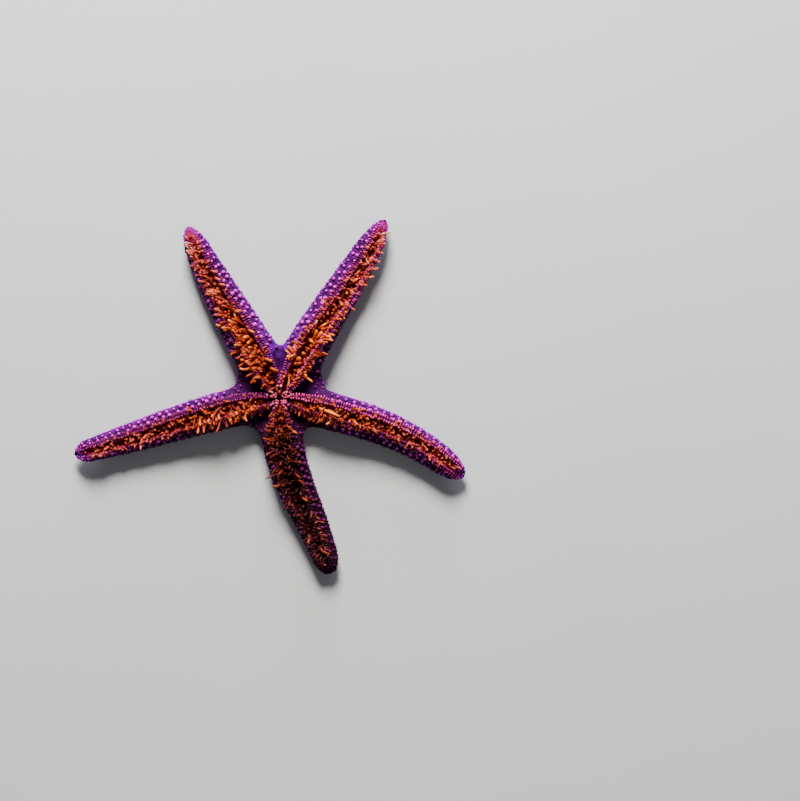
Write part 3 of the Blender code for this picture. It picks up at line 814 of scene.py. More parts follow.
def skin_material():
    """Violet skin with pits, darker between the spines, red at the tips.

    It has painted shade in the hollows, a painted rim highlight along the edge and painted light toward +Y.
    """
    hues = bpy.context.scene.sea_star_colours
    look = Finish("sea_star_skin", 0.65, subsurface=0.06, depth=0.0006, specular=0.05)
    broad, fine = look.noise(150.0, 3.0), look.noise(800.0, 3.0, 0.4)
    pits = look.cells(620.0)
    colour = look.mix(look.level(broad, 0.38, 0.66), rgba(hues.violet), rgba(hues.bright))
    colour = look.mix(look.level(look.attribute("oral"), 0.0, 1.0, 0.40, 0.0), colour, rgba(hues.bright))
    rim = look.times(look.attribute("rim"), look.level(fine, 0.3, 0.7, 0.40, 0.90))
    colour = look.mix(rim, colour, rgba(hues.magenta))
    colour = look.mix(look.level(pits, 0.08, 0.62, 0.0, 0.70), colour, rgba(hues.navy, 2.2))
    colour = look.mix(look.level(fine, 0.56, 0.80, 0.0, 0.40), colour, rgba(hues.bright, 1.3))
    # Painted rim highlight: a bluish violet band along the body's widest line.
    edge = look.times(look.attribute("edge"), look.level(fine, 0.3, 0.7, 0.5, 0.9))
    colour = look.mix(edge, colour, rgba(hues.edge))
    # Painted light: the hollow toward +Y, which faces the key light, is brightened with the edge's colour.
    colour = look.mix(look.times(look.attribute("north"), 0.70), colour, rgba(hues.edge))
    # Dark patches, fewer under the edge's painted rim highlight.
    patches = look.level(look.noise(420.0, 2.0), 0.38, 0.55)
    patches = look.times(patches, look.level(look.attribute("edge"), 0.3, 0.9, 0.90, 0.38))
    colour = look.mix(patches, colour, rgba(hues.indigo))
    # Painted shade: the hollows between the arms' bases are darkened toward navy.
    hollows = look.times(look.attribute("valley"), look.level(broad, 0.2, 0.8, 1.0, 0.86))
    colour = look.mix(hollows, colour, rgba(hues.navy, 1.6))
    floor = look.mix(look.level(fine, 0.4, 0.7), rgba(hues.maroon, 2.2), rgba(hues.root, 1.7))
    colour = look.mix(look.attribute("groove"), colour, floor)
    colour = look.mix(look.attribute("throat"), colour, rgba(hues.maroon, 0.08))
    tips = look.times(look.attribute("tip"), look.level(fine, 0.35, 0.6, 0.25, 1.0))
    colour = look.mix(tips, colour, rgba(hues.crimson, 0.75))
    normal = look.bump(look.level(pits, 0.0, 0.6, 1.0, 0.0), 0.00018, 0.8)
    normal = look.bump(fine, 0.00010, 0.6, Normal=normal)
    return look.done(colour, Normal=normal, Roughness=look.level(fine, 0.3, 0.7, 0.60, 0.75))


class SEASTAR_OT_skin(bpy.types.Operator):
    """Makes the seamless skin of the disc and the arms"""

    bl_idname = "seastar.skin"
    bl_label = "Skin"

    def execute(self, context):
        size = skin_sizes()
        inner = np.linspace(0.0, 1.0, size.rows // 4)
        outer = 1.0 + np.linspace(0.0, 1.0, size.rows - len(inner) + 1)[1:] ** 0.93
        steps = np.concatenate([inner, outer])
        verts, quads, uv, marks, start = [], [], [], [], 0
        for index in range(5):
            for oral, count in ((True, size.oral_columns), (False, size.aboral_columns)):
                grid = np.meshgrid(steps, np.linspace(-1.0, 1.0, count), indexing="ij")
                grid_steps, grid_columns = grid[0].ravel(), grid[1].ravel()
                points = skin_points(index, grid_steps, grid_columns, oral)
                faces = grid_quads(len(steps), count, not oral)
                verts.append(points)
                marks.append(zones(points[:, :2], oral))
                uv.append(unwrap(index, grid_steps, grid_columns, oral)[faces].reshape(-1, 2))
                quads.append(faces + start)
                start += len(points)
        attributes = {key: np.concatenate([mark[key] for mark in marks]) for key in marks[0]}
        piece = new_object("skin", np.concatenate(verts), np.concatenate(quads), np.zeros((0, 3), int),
                           np.concatenate(uv), attributes, skin_material())
        weld(piece, 3e-6)
        flesh = ["disc"] + [f"arm_{arm.number}_{part}" for arm in ARMS for part in ("inner", "outer")]
        dress(piece, "skin", *flesh)
        return {"FINISHED"}


def random_draws(step):
    """The random draws of one operator, whose step from the first seed is given."""
    return np.random.default_rng(bpy.context.scene.sea_star_coat.seed + step)


def stalks_per_arm(name, made_by, draw, sides, made_material, slot, node=None, patch=ROOT_PATCH):
    """A piece of stalks for each arm, from the paths, radii, roots and attributes that made_by gives."""
    for index, arm in enumerate(ARMS):
        paths, radii, roots, attributes = made_by(index, draw)
        piece = stalks(f"{name}_{arm.number}", paths, radii, sides, roots, attributes, made_material, patch)
        dress(piece, slot, *([f"{node}_{arm.number}"] if node else []))


def row_places(index, rows, spacing, draw, start, end):
    """Steps and columns of points set along rows: rows holds each row's column and its first step."""
    arm = ARMS[index]
    steps, columns = [], []
    for number, (column, first) in enumerate(rows):
        begin = max(start, float(share_of_reach(arm, np.array(first))))
        count = max(2, int((end - begin) * arm.reach / spacing))
        t = begin + (end - begin) * (np.arange(count) + 0.5 + 0.5 * (number % 2)) / count
        t = np.clip(t + draw.normal(0.0, 0.10 * spacing / arm.reach, count), 0.02, 0.992)
        steps.append(step_of_share(arm, t))
        columns.append(np.clip(column + draw.normal(0.0, 0.018, count), -0.985, 0.985))
    return np.concatenate(steps), np.concatenate(columns)


def bent_paths(roots, headings, lengths, rings, power=1.0):
    """Paths that leave their roots along the first heading and turn smoothly through the others.

    The heading at each ring is the mean of its two neighbours in the list, weighted by nearness.
    """
    place = np.linspace(0.0, 1.0, rings) ** power * (len(headings) - 1)
    weights = np.clip(1.0 - np.abs(place[:, None] - np.arange(len(headings))), 0.0, 1.0)
    heading = unit(np.einsum("rk,knc->nrc", weights, np.stack(headings)))
    step = (lengths / (rings - 1))[:, None, None] * 0.5 * (heading[:, 1:] + heading[:, :-1])
    return roots[:, None] + np.concatenate([np.zeros((len(roots), 1, 3)), np.cumsum(step, axis=1)], axis=1)


def off_floor(paths, radii):
    """Raises the parts of paths that would dip into the floor."""
    paths[..., 2] = np.maximum(paths[..., 2], 1.02 * radii + 0.00005)
    return paths


def spine_material():
    """Pink to lavender knobs on violet stems."""
    hues = bpy.context.scene.sea_star_colours
    look = Finish("spine_knobs", 0.52, subsurface=0.12, depth=0.0005, specular=0.08)
    ends = look.mix(look.attribute("tone"), rgba(hues.knob), rgba(hues.lavender))
    colour = look.mix(look.level(look.attribute("height"), 0.10, 0.62), rgba(hues.violet), ends)
    fine = look.noise(2200.0, 2.0)
    colour = look.mix(look.level(fine, 0.45, 0.75, 0.0, 0.30), colour, rgba(hues.magenta))
    return look.done(colour, Normal=look.bump(fine, 0.00005, 0.6))


KNOB_PROFILE = np.array([1.20, 0.98, 0.92, 1.00, 0.90, 0.50])  # shares of the radius, from root to end
ORAL_ROWS = ((0.50, 1.04), (0.66, 0.98), (0.83, 1.02))  # each row's column and first step
ABORAL_ROWS = ((0.93, 1.0), (0.74, 0.95), (0.54, 0.78), (0.32, 1.05), (0.16, 0.55))
BARE_ANGLE = 1  # place in ARMS of the arm on the right of the angle that is bare of spines
EARLIER = 0.22  # how many steps earlier the oral rows begin, but for those beside the bare angle
LATER = 0.16  # how many steps later the rows beside the bare angle begin, per column past column 0.5
SPINES_FROM, SPINES_TO = 0.13, 0.985  # shares of the reach between which the spines stand


def spine_rows(index, oral):
    """Each row's column and first step, for the rows on both flanks of one side of an arm."""
    bare = {BARE_ANGLE: 1, BARE_ANGLE + 1: -1}.get(index, 0)
    rows = [(side * column, first)
            for column, first in (ORAL_ROWS if oral else ABORAL_ROWS) for side in (1, -1)]
    return [(column, first + LATER * max(abs(column) - 0.5, 0.0) if column * bare > 0
             else first - EARLIER * oral) for column, first in rows]


def spines_on_side(index, oral, draw):
    """Paths, radii, roots in the unwrap, tones and shades of the spines on one side of an arm."""
    arm, size = ARMS[index], bpy.context.scene.sea_star_coat
    rows = spine_rows(index, oral)
    steps, columns = row_places(index, rows, size.spine_spacing, draw, SPINES_FROM, SPINES_TO)
    points, normals, along = skin_frames(index, steps, columns, oral)
    t = share_of_reach(arm, steps)
    scale = draw.uniform(0.70, 1.15, len(t)) * (1.0 - 0.40 * smooth_step(t, 0.55, 1.0))
    edge = smooth_step(np.abs(columns), 0.60, 0.95)
    low = 1.0 - 0.5 * edge if oral else 0.65 - 0.38 * edge
    low = low * (1.0 - 0.4 * (1.0 - smooth_step(steps, 0.90, 1.12)))
    length = scale * size.spine_length * low
    lean = unit(normals + 0.2 * along + draw.normal(0.0, 0.10, normals.shape))
    sunk = points - 0.15 * length[:, None] * normals
    radii = (scale * size.spine_radius * (0.35 + 0.65 * low))[:, None] * KNOB_PROFILE
    paths = off_floor(bent_paths(sunk, [normals, lean], length, len(KNOB_PROFILE)), radii)
    near = 0.15 if oral else 0.8
    tone = np.clip(near + 0.9 * (np.abs(columns) - 0.5) + draw.normal(0.0, 0.2, len(t)), 0.0, 1.0)
    # Painted shade on the knobs: the arm's and its flank's, with more in the hollows near the disc.
    painted_knob_shade = shade_of(arm, points[:, :2]) + 0.50 * (1.0 - smooth_step(steps, 0.98, 1.22))
    shade = np.clip((1.5 - 0.5 * arm.shade) * painted_knob_shade, 0.0, 0.88) * (1.0 if oral else BACK_SHADE)
    return paths, radii, unwrap(index, steps, columns, oral), tone, shade


def spines_on(index, draw):
    """The spines on both sides of an arm."""
    return joined([spines_on_side(index, oral, draw) for oral in (True, False)])


class SEASTAR_OT_spines(bpy.types.Operator):
    """Makes the knobbed spines in rows along the flanks and the back"""

    bl_idname = "seastar.spines"
    bl_label = "Spines"

    def execute(self, context):
        stalks_per_arm("spines", spines_on, random_draws(0), 8, spine_material(), "skin")
        return {"FINISHED"}


def comb_material():
    """Small spines, pink where their glow is high and dark where it is low; the glow is partly painted
    light.
    """
    hues = bpy.context.scene.sea_star_colours
    look = Finish("comb_spines", 0.50, subsurface=0.12, depth=0.0004, specular=0.12)
    ends = look.mix(look.attribute("tone"), rgba(hues.comb), rgba(hues.knob))
    ends = look.mix(look.attribute("glow"), rgba(hues.magenta, 0.45), ends)
    colour = look.mix(look.level(look.attribute("height"), 0.15, 0.75), rgba(hues.magenta, 0.30), ends)
    return look.done(colour, Normal=look.bump(look.noise(2600.0), 0.00004, 0.5))


COMB_PROFILE = np.array([1.05, 0.95, 0.95, 1.0, 1.0, 0.72])
COMB_DEPTH = 0.055  # columns between a comb's two rows
COMB_FIRST = 0.24  # first step of the combs
COMBS_FROM, COMBS_TO = 0.04, 0.975  # shares of the reach between which they stand


def combs_on(index, draw):
    """Paths, radii, roots and attributes of the comb on each side of an arm's groove.

    A comb has two rows. The inner one leans in over the groove and the outer one leans out.
    """
    arm, size = ARMS[index], bpy.context.scene.sea_star_coat
    brims = [(side * GROOVE_SHARE, COMB_FIRST) for side in (1, -1)]
    steps, columns = row_places(index, brims, size.comb_spacing, draw, COMBS_FROM, COMBS_TO)
    outer = np.arange(2 * len(steps)) >= len(steps)
    steps = np.tile(steps, 2)
    columns = np.sign(np.tile(columns, 2)) * (GROOVE_SHARE + np.where(outer, COMB_DEPTH, 0.0))
    columns += draw.normal(0.0, 0.005, len(columns))
    points, normals, along = skin_frames(index, steps, columns)
    outward = np.sign(columns)[:, None] * np.cross(normals, along)
    t = share_of_reach(arm, steps)
    scale = draw.uniform(0.85, 1.12, len(t)) * (1.0 - 0.35 * smooth_step(t, 0.6, 1.0))
    lean = np.where(outer, 1.7, -0.6)[:, None] + draw.normal(0.0, 0.14, (len(t), 1))
    # Comb brightness: partly own colour, partly painted light on the side toward the key light.
    glow = np.where(columns > 0.0, arm.combs[1], arm.combs[0]) * (1.0 - 0.4 * smooth_step(t, 0.5, 0.9))
    glow += 0.40 * smooth_step(t, 0.76, 0.90)
    glow = np.clip(glow * draw.uniform(0.6, 1.3, len(t)), 0.0, 1.0)
    slant = draw.normal(0.0, 0.10, (len(t), 1)) * (3.0 - 2.5 * glow[:, None]) * along
    last = unit(UP + lean * outward + slant)
    first = unit(normals + UP + 0.6 * lean * outward)
    length = scale * size.comb_length * np.where(outer, 1.0, 0.85) * (0.70 + 0.30 * glow)
    paths = bent_paths(points - ROOT_SINK * normals, [first, last, last], length, len(COMB_PROFILE))
    radii = scale[:, None] * size.comb_radius * COMB_PROFILE
    # shade is the arm's painted shade
    attributes = {"tone": draw.uniform(0.0, 0.6, len(t)), "glow": glow, "shade": arm.shade * past_disc(t)}
    return paths, radii, unwrap(index, steps, columns), attributes


class SEASTAR_OT_combs(bpy.types.Operator):
    """Makes the close rows of small spines along both sides of each groove"""

    bl_idname = "seastar.combs"
    bl_label = "Combs"

    def execute(self, context):
        stalks_per_arm("groove_spines", combs_on, random_draws(1), 7, comb_material(), "skin", patch=0.0013)
        return {"FINISHED"}


def granule_material():
    """Granules from violet to lavender."""
    hues = bpy.context.scene.sea_star_colours
    look = Finish("granules", 0.60, subsurface=0.10, depth=0.0003, specular=0.08)
    ends = look.mix(look.attribute("tone"), rgba(hues.bright), rgba(hues.lavender, 1.15))
    return look.done(look.mix(look.level(look.attribute("height"), 0.1, 0.8), rgba(hues.violet), ends))


def granule_places(arm, draw):
    """Shares of the reach, columns and sides (whether oral) of an arm's granules.

    Four times as many are tried. Most are kept where the arm is wide, few before the angles, and none in
    the groove and beside it until the tip.
    """
    count = bpy.context.scene.sea_star_coat.granules
    tries = 4 * count
    t, columns = draw.uniform(0.03, 0.993, tries), draw.uniform(-0.97, 0.97, tries)
    oral = draw.uniform(0.0, 1.0, tries) < 0.5
    steps = step_of_share(arm, t)
    room = np.minimum(steps, 1.0) * half_width(arm, t) / arm.half_width * (0.35 + 0.65 * t)
    keep = (draw.uniform(0.0, 1.0, tries) < room) | (t > 0.91)
    keep &= ~(oral & (np.abs(columns) < GROOVE_SHARE + 0.12) & (t < 0.955))
    keep &= ~(oral & (steps < 1.12) & (draw.uniform(0.0, 1.0, tries) < 0.95))
    keep = np.flatnonzero(keep)[:count]
    return t[keep], columns[keep], oral[keep]


GRANULE_PROFILE = np.array([1.0, 1.0, 0.62])


def granules_at(index, oral, t, columns, draw):
    """What spines_on_side gives, for low granules at the places given."""
    arm = ARMS[index]
    steps = step_of_share(arm, t)
    points, normals, _ = skin_frames(index, steps, columns, oral)
    radius = draw.uniform(0.55, 1.25, len(t)) * bpy.context.scene.sea_star_coat.granule_radius
    radii = radius[:, None] * GRANULE_PROFILE
    sunk = points - 0.3 * radius[:, None] * normals
    paths = off_floor(bent_paths(sunk, [normals, normals], 1.7 * radius, len(GRANULE_PROFILE)), radii)
    paler = 0.55 * smooth_step(t, 0.84, 0.93)
    tone = np.minimum(draw.uniform(0.0, 1.0, len(t)) ** 1.5 + paler, 1.3)
    # The arm's and its flank's painted shade, less on the back.
    shade = shade_of(arm, points[:, :2]) * (1.0 if oral else BACK_SHADE)
    return paths, radii, unwrap(index, steps, columns, oral), tone, shade


def granules_on(index, draw):
    """The granules on both sides of an arm."""
    t, columns, oral = granule_places(ARMS[index], draw)
    return joined([granules_at(index, side, t[oral == side], columns[oral == side], draw)
                   for side in (True, False)])


class SEASTAR_OT_granules(bpy.types.Operator):
    """Makes the granules and small pincers scattered between the spines"""

    bl_idname = "seastar.granules"
    bl_label = "Granules"

    def execute(self, context):
        stalks_per_arm("granules", granules_on, random_draws(2), 6, granule_material(), "skin", patch=0.0012)
        return {"FINISHED"}


def foot_material():
    """Wrinkled orange stalks, dark at the root and pale at the end, that flush rose toward the tips."""
    hues = bpy.context.scene.sea_star_colours
    look = Finish("tube_feet", 0.42, subsurface=0.15, depth=0.0006, specular=0.14)
    height = look.plus(look.attribute("height"), look.level(look.attribute("tone"), 0.0, 2.0, -0.55, 0.63))
    colour = look.ramp(height, ((0.05, rgba(hues.root)), (0.40, rgba(hues.orange, 0.45)),
                                (0.72, rgba(hues.orange)), (1.0, rgba(hues.peach))))
    flush = look.times(look.attribute("flush"), look.level(height, 0.2, 1.1, 0.20, 0.60))
    colour = look.mix(flush, colour, rgba(hues.rose))
    rings = look.noise(1500.0, 2.0, 0.3)
    colour = look.mix(look.level(rings, 0.42, 0.75, 0.0, 0.5), colour, rgba(hues.root, 1.3))
    return look.done(colour, Normal=look.bump(rings, 0.00009, 0.7))


FOOT_PROFILE = np.array([1.30, 1.15, 1.05, 1.00, 0.98, 0.98, 0.96, 0.92, 0.90, 0.84, 0.54])


class Stray(NamedTuple):
    """A tube foot that stands out from the rest."""

    arm: int
    share: float  # its root's place along the arm
    across: float  # and across the groove, from -1 at the right brim to 1 at the left
    heading: float  # the way it leaves, in degrees from +X
    ending: float  # and the way its end points
    length: float  # in millimetres
    girth: float = 1.0
    tone: float = 0.8
    rise: float = 0.30


STRAYS = (
    Stray(3, 0.17, 0.1, -20, -24, 10.4, 0.95, 2.0, 0.30), Stray(3, 0.20, 0.1, -16, -24, 6.4, 0.8, 1.0),
    Stray(3, 0.37, -0.1, -60, -25, 3.4, 1.0, 1.0), Stray(3, 0.41, 0.4, -25, -30, 3.2, 1.1, 1.1),
    Stray(3, 0.48, -0.3, -70, -50, 3.0, 1.0, 0.8), Stray(3, 0.62, -0.3, -95, -60, 3.0, 0.9, 0.7),
    Stray(2, 0.30, -0.2, 12, -3, 6.0, 0.85, 0.7), Stray(2, 0.22, 0.5, 190, 200, 2.6, 1.15, 1.1),
    Stray(2, 0.66, -0.4, -8, 4, 4.0, 0.9, 1.0), Stray(2, 0.70, -0.3, -4, 8, 5.2, 0.9, 1.1),
    Stray(2, 0.74, -0.4, 2, 14, 5.0, 0.9, 1.1), Stray(2, 0.80, -0.4, -20, -12, 3.6, 0.85, 1.0),
    Stray(2, 0.84, -0.4, -14, -2, 3.2, 0.85, 1.1), Stray(2, 0.88, -0.3, -2, 10, 2.8, 0.8, 1.0),
    Stray(2, 0.38, -0.1, 20, -2, 4.8, 0.9, 0.7), Stray(2, 0.45, -0.3, 4, -8, 4.2, 0.95, 0.9),
    Stray(1, 0.24, 0.1, 175, 178, 5.0, 1.0, 0.9, 2.6), Stray(1, 0.28, -0.2, 160, 178, 4.8, 1.0, 1.0, 2.2),
    Stray(1, 0.13, 0.5, 182, 178, 3.2, 0.9, 1.1), Stray(1, 0.32, 0.5, 170, 182, 3.6, 0.8, 1.1),
    Stray(1, 0.42, 0.4, 172, 178, 4.8, 0.9, 1.0), Stray(1, 0.165, -0.5, -24, -14, 4.0, 1.15, 1.1),
    Stray(1, 0.22, -0.5, -26, -16, 3.4, 1.15, 1.0), Stray(1, 0.39, -0.6, -28, -24, 3.2, 1.0, 1.1),
    Stray(1, 0.425, 0.2, -38, -30, 4.8, 0.8, 1.0), Stray(1, 0.50, -0.4, 10, 0, 3.0, 1.1, 1.1),
    Stray(1, 0.665, -0.6, -10, -2, 2.6, 0.9, 1.1), Stray(1, 0.705, -0.6, -24, -20, 2.8, 0.9, 1.2),
    Stray(1, 0.745, -0.6, -18, -12, 2.6, 0.9, 1.1), Stray(1, 0.70, 0.5, 168, 172, 2.8, 0.75, 0.9),
    Stray(5, 0.13, -0.3, 262, 300, 3.6, 0.95, 0.8), Stray(5, 0.19, -0.3, 250, 275, 4.2, 0.95, 0.9),
    Stray(5, 0.285, -0.3, 262, 290, 4.0, 1.0, 0.9), Stray(5, 0.31, 0.4, 285, 262, 3.2, 0.9, 1.1),
    Stray(5, 0.377, -0.2, 262, 285, 4.0, 0.95, 1.0), Stray(5, 0.39, -0.4, 215, 196, 3.4, 1.0, 1.0),
    Stray(5, 0.446, -0.4, 210, 196, 3.6, 1.0, 1.1), Stray(5, 0.64, -0.2, 240, 220, 2.6, 1.15, 1.1),
    Stray(5, 0.70, -0.1, 220, 200, 2.6, 1.1, 1.0), Stray(5, 0.83, -0.1, 230, 200, 2.4, 1.0, 1.0),
    Stray(4, 0.133, 0.5, -44, -30, 6.0, 0.72, 1.0), Stray(4, 0.153, -0.5, 174, 184, 3.6, 0.8, 0.6),
    Stray(4, 0.225, -0.5, 178, 190, 3.0, 0.8, 0.5), Stray(4, 0.30, -0.5, 180, 240, 3.6, 0.8, 0.6),
    Stray(4, 0.348, 0.5, -10, -4, 4.0, 0.8, 0.5), Stray(4, 0.38, -0.4, 225, 250, 3.6, 0.85, 0.7),
    Stray(4, 0.408, 0.5, -44, -32, 3.6, 0.8, 0.6), Stray(4, 0.45, 0.5, -24, -14, 3.2, 0.8, 0.6),
    Stray(4, 0.544, 0.4, -42, -28, 3.2, 0.85, 0.8), Stray(4, 0.84, 0.3, -62, -40, 3.0, 0.8, 0.9),
    Stray(4, 0.86, 0.4, -35, -15, 3.2, 0.8, 0.9), Stray(4, 0.77, -0.4, 250, 285, 2.6, 0.8, 0.8),
)


def smaller_at_ends(t, less):
    """1 along an arm's middle, and smaller by less near the mouth and at the tip."""
    return 1.0 - less * smooth_step(t, 0.45, 1.0) - less * (1.0 - smooth_step(t, 0.07, 0.15))


def scattered_feet(arm, size, draw):
    """Pairs of feet down the groove, whose headings and lengths go by bunches of a few neighbours.

    Gives the shares of the reach, the places across the groove, two headings in degrees, the lengths, the
    girths, the tones and how steeply each foot rises.
    """
    count = size.pairs
    t = np.repeat(0.066 + 0.838 * ((np.arange(count) + 0.5) / count) ** 1.3, 2)
    side = np.tile([1.0, -1.0], count)
    row = np.repeat(np.where(np.arange(count) % 2, 0.18, 0.56), 2)
    across = side * (row + draw.normal(0.0, 0.07, 2 * count))
    t = t + draw.normal(0.0, 0.003, len(t))
    bunch = np.clip((t * size.bunches).astype(int), 0, size.bunches - 1)
    gather = (bunch + 0.5 + draw.uniform(-0.3, 0.3, size.bunches)[bunch]) / size.bunches
    t = t + 0.55 * smooth_step(t, 0.35, 0.55) * (np.minimum(gather, 0.90) - t)
    bunch = bunch + size.bunches * (side > 0)
    turn = draw.normal(0.0, 30.0, 2 * size.bunches)[bunch]
    hanging = arm.droop + smooth_step(t, 0.35, 0.6) * (arm.outer_droop - arm.droop) + 0.8 * turn
    along = unit(tangent(arm, t))
    sideways = unit(side[:, None] * turned_left(along) + 1.1 * draw.normal(0.0, 1.0, (len(t), 1)) * along)
    blend = arm.hang + draw.normal(0.0, 0.14, (len(t), 1))
    aim = unit(blend * heading_of(hanging) + (1.0 - blend) * sideways)
    heading = np.degrees(np.arctan2(aim[:, 1], aim[:, 0])) + draw.normal(0.0, 11.0, len(t))
    curl = draw.normal(0.0, 30.0, 2 * size.bunches)[bunch]
    ending = heading + curl + draw.normal(0.0, 20.0, len(t))
    kind = draw.uniform(0.0, 1.0, len(t))
    stubby, slender = kind < 0.18, kind > 0.80
    small = smaller_at_ends(t, 0.42)
    length = size.length * arm.foot_size * small * draw.uniform(0.8, 1.15, len(t))
    length *= np.select([stubby, slender], [0.72, 1.25], 1.0)
    # Feet on a flank with painted shade are drawn shorter.
    dark = np.where(side > 0.0, arm.flanks[1], arm.flanks[0])
    length *= 1.0 - 0.45 * dark * smooth_step(t, 0.26, 0.46)
    length *= np.where(np.cos(np.radians(heading - hanging)) < -0.2, 0.62, 1.0)
    girth = arm.girth * (0.55 + 0.45 * small) * draw.uniform(0.88, 1.10, len(t))
    girth *= np.select([stubby, slender], [1.18, 0.84], 1.0)
    lively = np.where(draw.uniform(0.0, 1.0, 2 * size.bunches) < 0.45, 0.85, 0.22)[bunch]
    # The browner feet of arm 4 are painted shade.
    tone = np.clip(lively + draw.normal(0.0, 0.20, len(t)) + arm.warmth_and_shade, 0.0, 1.1)
    rise = np.where(stubby, draw.uniform(0.3, 1.2, len(t)), draw.uniform(-0.15, 0.55, len(t)))
    drawn_in = draw.uniform(0.0, 1.0, len(t)) < arm.sparse * smooth_step(t, 0.30, 0.48)
    length *= np.where(drawn_in, 0.42, 1.0)
    tone *= np.where(drawn_in, 0.25, 1.0)
    return t, across, heading, ending, length, girth, tone, rise


def crowded_feet(arm, size, draw):
    """Short dark feet that stand close together all down the groove, under the longer ones."""
    count = 2 * size.crowd
    t = 0.062 + 0.850 * (np.arange(count) + 0.5) / count + draw.normal(0.0, 0.003, count)
    across = np.tile([0.10, -0.62, 0.44, -0.24, 0.70, -0.44], count // 6 + 1)[:count]
    across = across + draw.normal(0.0, 0.07, count)
    heading = draw.uniform(0.0, 360.0, count)
    small = smaller_at_ends(t, 0.40)
    length = 0.70 * size.length * small * draw.uniform(0.75, 1.15, count)
    girth = (0.6 + 0.4 * small) * draw.uniform(0.85, 1.15, count)
    # The browner crowd of arm 4 is painted shade.
    tone = draw.uniform(0.0, 0.45, count) + 0.3 * arm.warmth_and_shade
    return t, across, heading, heading, length, girth, tone, draw.uniform(0.5, 2.0, count)


def stray_feet(arm):
    """The arm's own STRAYS, with their lengths in metres."""
    strays = np.array([stray[1:] for stray in STRAYS if stray.arm == arm.number]).T
    strays[Stray._fields.index("length") - 1] *= 0.001
    return strays


FOOT_SHADE = 0.62  # share of an arm's painted shade on its feet, but for the crowded ones, which take it all
STRAY_RISE = 0.0012  # how far over the skin the strays are kept
FOOT_TOP = CAD_BOX[1][2]  # the feet stay under the top of the solids


def feet_on(index, draw):
    """Paths, radii, roots and attributes of all the feet of an arm.

    Each foot leaves its root steeply and turns over to its heading, then to its ending. Past its root it is
    kept over the skin, and all of it under FOOT_TOP.
    """
    arm, size = ARMS[index], bpy.context.scene.sea_star_feet
    layers = [scattered_feet(arm, size, draw), crowded_feet(arm, size, draw), stray_feet(arm)]
    layer = np.repeat([0, 1, 2], [len(feet[0]) for feet in layers])
    t, across, heading, ending, length, girth, tone, rise = np.concatenate(layers, axis=1)
    columns = GROOVE_SHARE * across
    steps = step_of_share(arm, t)
    points, normals, _ = skin_frames(index, steps, columns)
    rise = rise[:, None]
    begin, end = with_z(heading_of(heading), 0.0), with_z(heading_of(ending), 0.0)
    first = unit(0.9 * UP + 0.45 * begin + 0.3 * normals)
    headings = [first, unit(begin + (rise + 0.12) * UP), unit(end + rise * UP)]
    paths = bent_paths(points - FOOT_SINK * normals, headings, length, len(FOOT_PROFILE), power=0.8)
    radii = size.radius * girth[:, None] * FOOT_PROFILE
    clear = oral_z(paths[..., :2]) + 0.9 * radii
    clear += np.where(layer == 2, STRAY_RISE, 0.0)[:, None]
    free = smooth_step(np.linspace(0.0, 1.0, len(FOOT_PROFILE)), 0.15, 0.45)
    paths[..., 2] += free * (np.maximum(paths[..., 2], clear) - paths[..., 2])
    paths[..., 2] = np.minimum(paths[..., 2], FOOT_TOP - radii)
    # shade is the arm's painted shade on the feet
    attributes = {"tone": tone, "flush": smooth_step(t, 0.35, 0.80),
                  "shade": np.where(layer == 1, 1.0, FOOT_SHADE) * arm.shade * past_disc(t)}
    return paths, radii, unwrap(index, steps, columns), attributes


class SEASTAR_OT_tube_feet(bpy.types.Operator):
    """Makes the tube feet of each groove, gathered in loose bunches"""

    bl_idname = "seastar.tube_feet"
    bl_label = "Tube feet"

    def execute(self, context):
        stalks_per_arm("tube_feet", feet_on, random_draws(3), 10, foot_material(), "tube_feet", "ambulacrum")
        return {"FINISHED"}


def feeler_material():
    """Feelers from brown to pale, by the arm."""
    hues = bpy.context.scene.sea_star_colours
    look = Finish("feelers", 0.35, subsurface=0.3, depth=0.0005, specular=0.18)
    height = look.attribute("height")
    brown = look.mix(height, rgba(hues.root), rgba(hues.orange))
    pale = look.ramp(height, ((0.0, rgba(hues.crimson, 0.6)), (0.40, rgba(hues.feeler)),
                              (1.0, rgba(hues.feeler_end))))
    return look.done(look.mix(look.attribute("tone"), brown, pale))


FEELER_PROFILE = np.array([1.4, 1.1, 1.0, 0.95, 0.95, 1.05, 0.7])
FEELERS_FROM, FEELERS_TO = 0.825, 0.945  # shares of the reach between which the feelers stand
SHORTEST_FEELER = 0.0020


def feelers_on(index, draw):
    """Paths, radii, roots and attributes of the feelers at an arm's tip."""
    arm, size = ARMS[index], bpy.context.scene.sea_star_feet
    count = max(3, int(size.feelers * arm.pale))
    t = draw.uniform(FEELERS_FROM, FEELERS_TO, count)
    side = np.sign(turned_left(tangent(arm, 0.9)) @ heading_of(arm.feelers))
    columns = side * GROOVE_SHARE * draw.uniform(-0.5, 1.1, count)
    steps = step_of_share(arm, t)
    points, normals, _ = skin_frames(index, steps, columns)
    aim = with_z(heading_of(arm.feelers + draw.normal(0.0, 12.0, count)), 0.30)
    headings = [unit(normals + 0.4 * aim)] + 2 * [unit(aim + draw.normal(0.0, 0.12, (count, 3)))]
    length = draw.uniform(SHORTEST_FEELER, size.feeler_length, count)
    paths = bent_paths(points - ROOT_SINK * normals, headings, length, len(FEELER_PROFILE))
    radii = np.full((count, 1), size.feeler_radius) * FEELER_PROFILE
    # The arm's painted shade.
    attributes = {"tone": np.full(count, arm.pale), "shade": np.full(count, arm.shade)}
    return paths, radii, unwrap(index, steps, columns), attributes


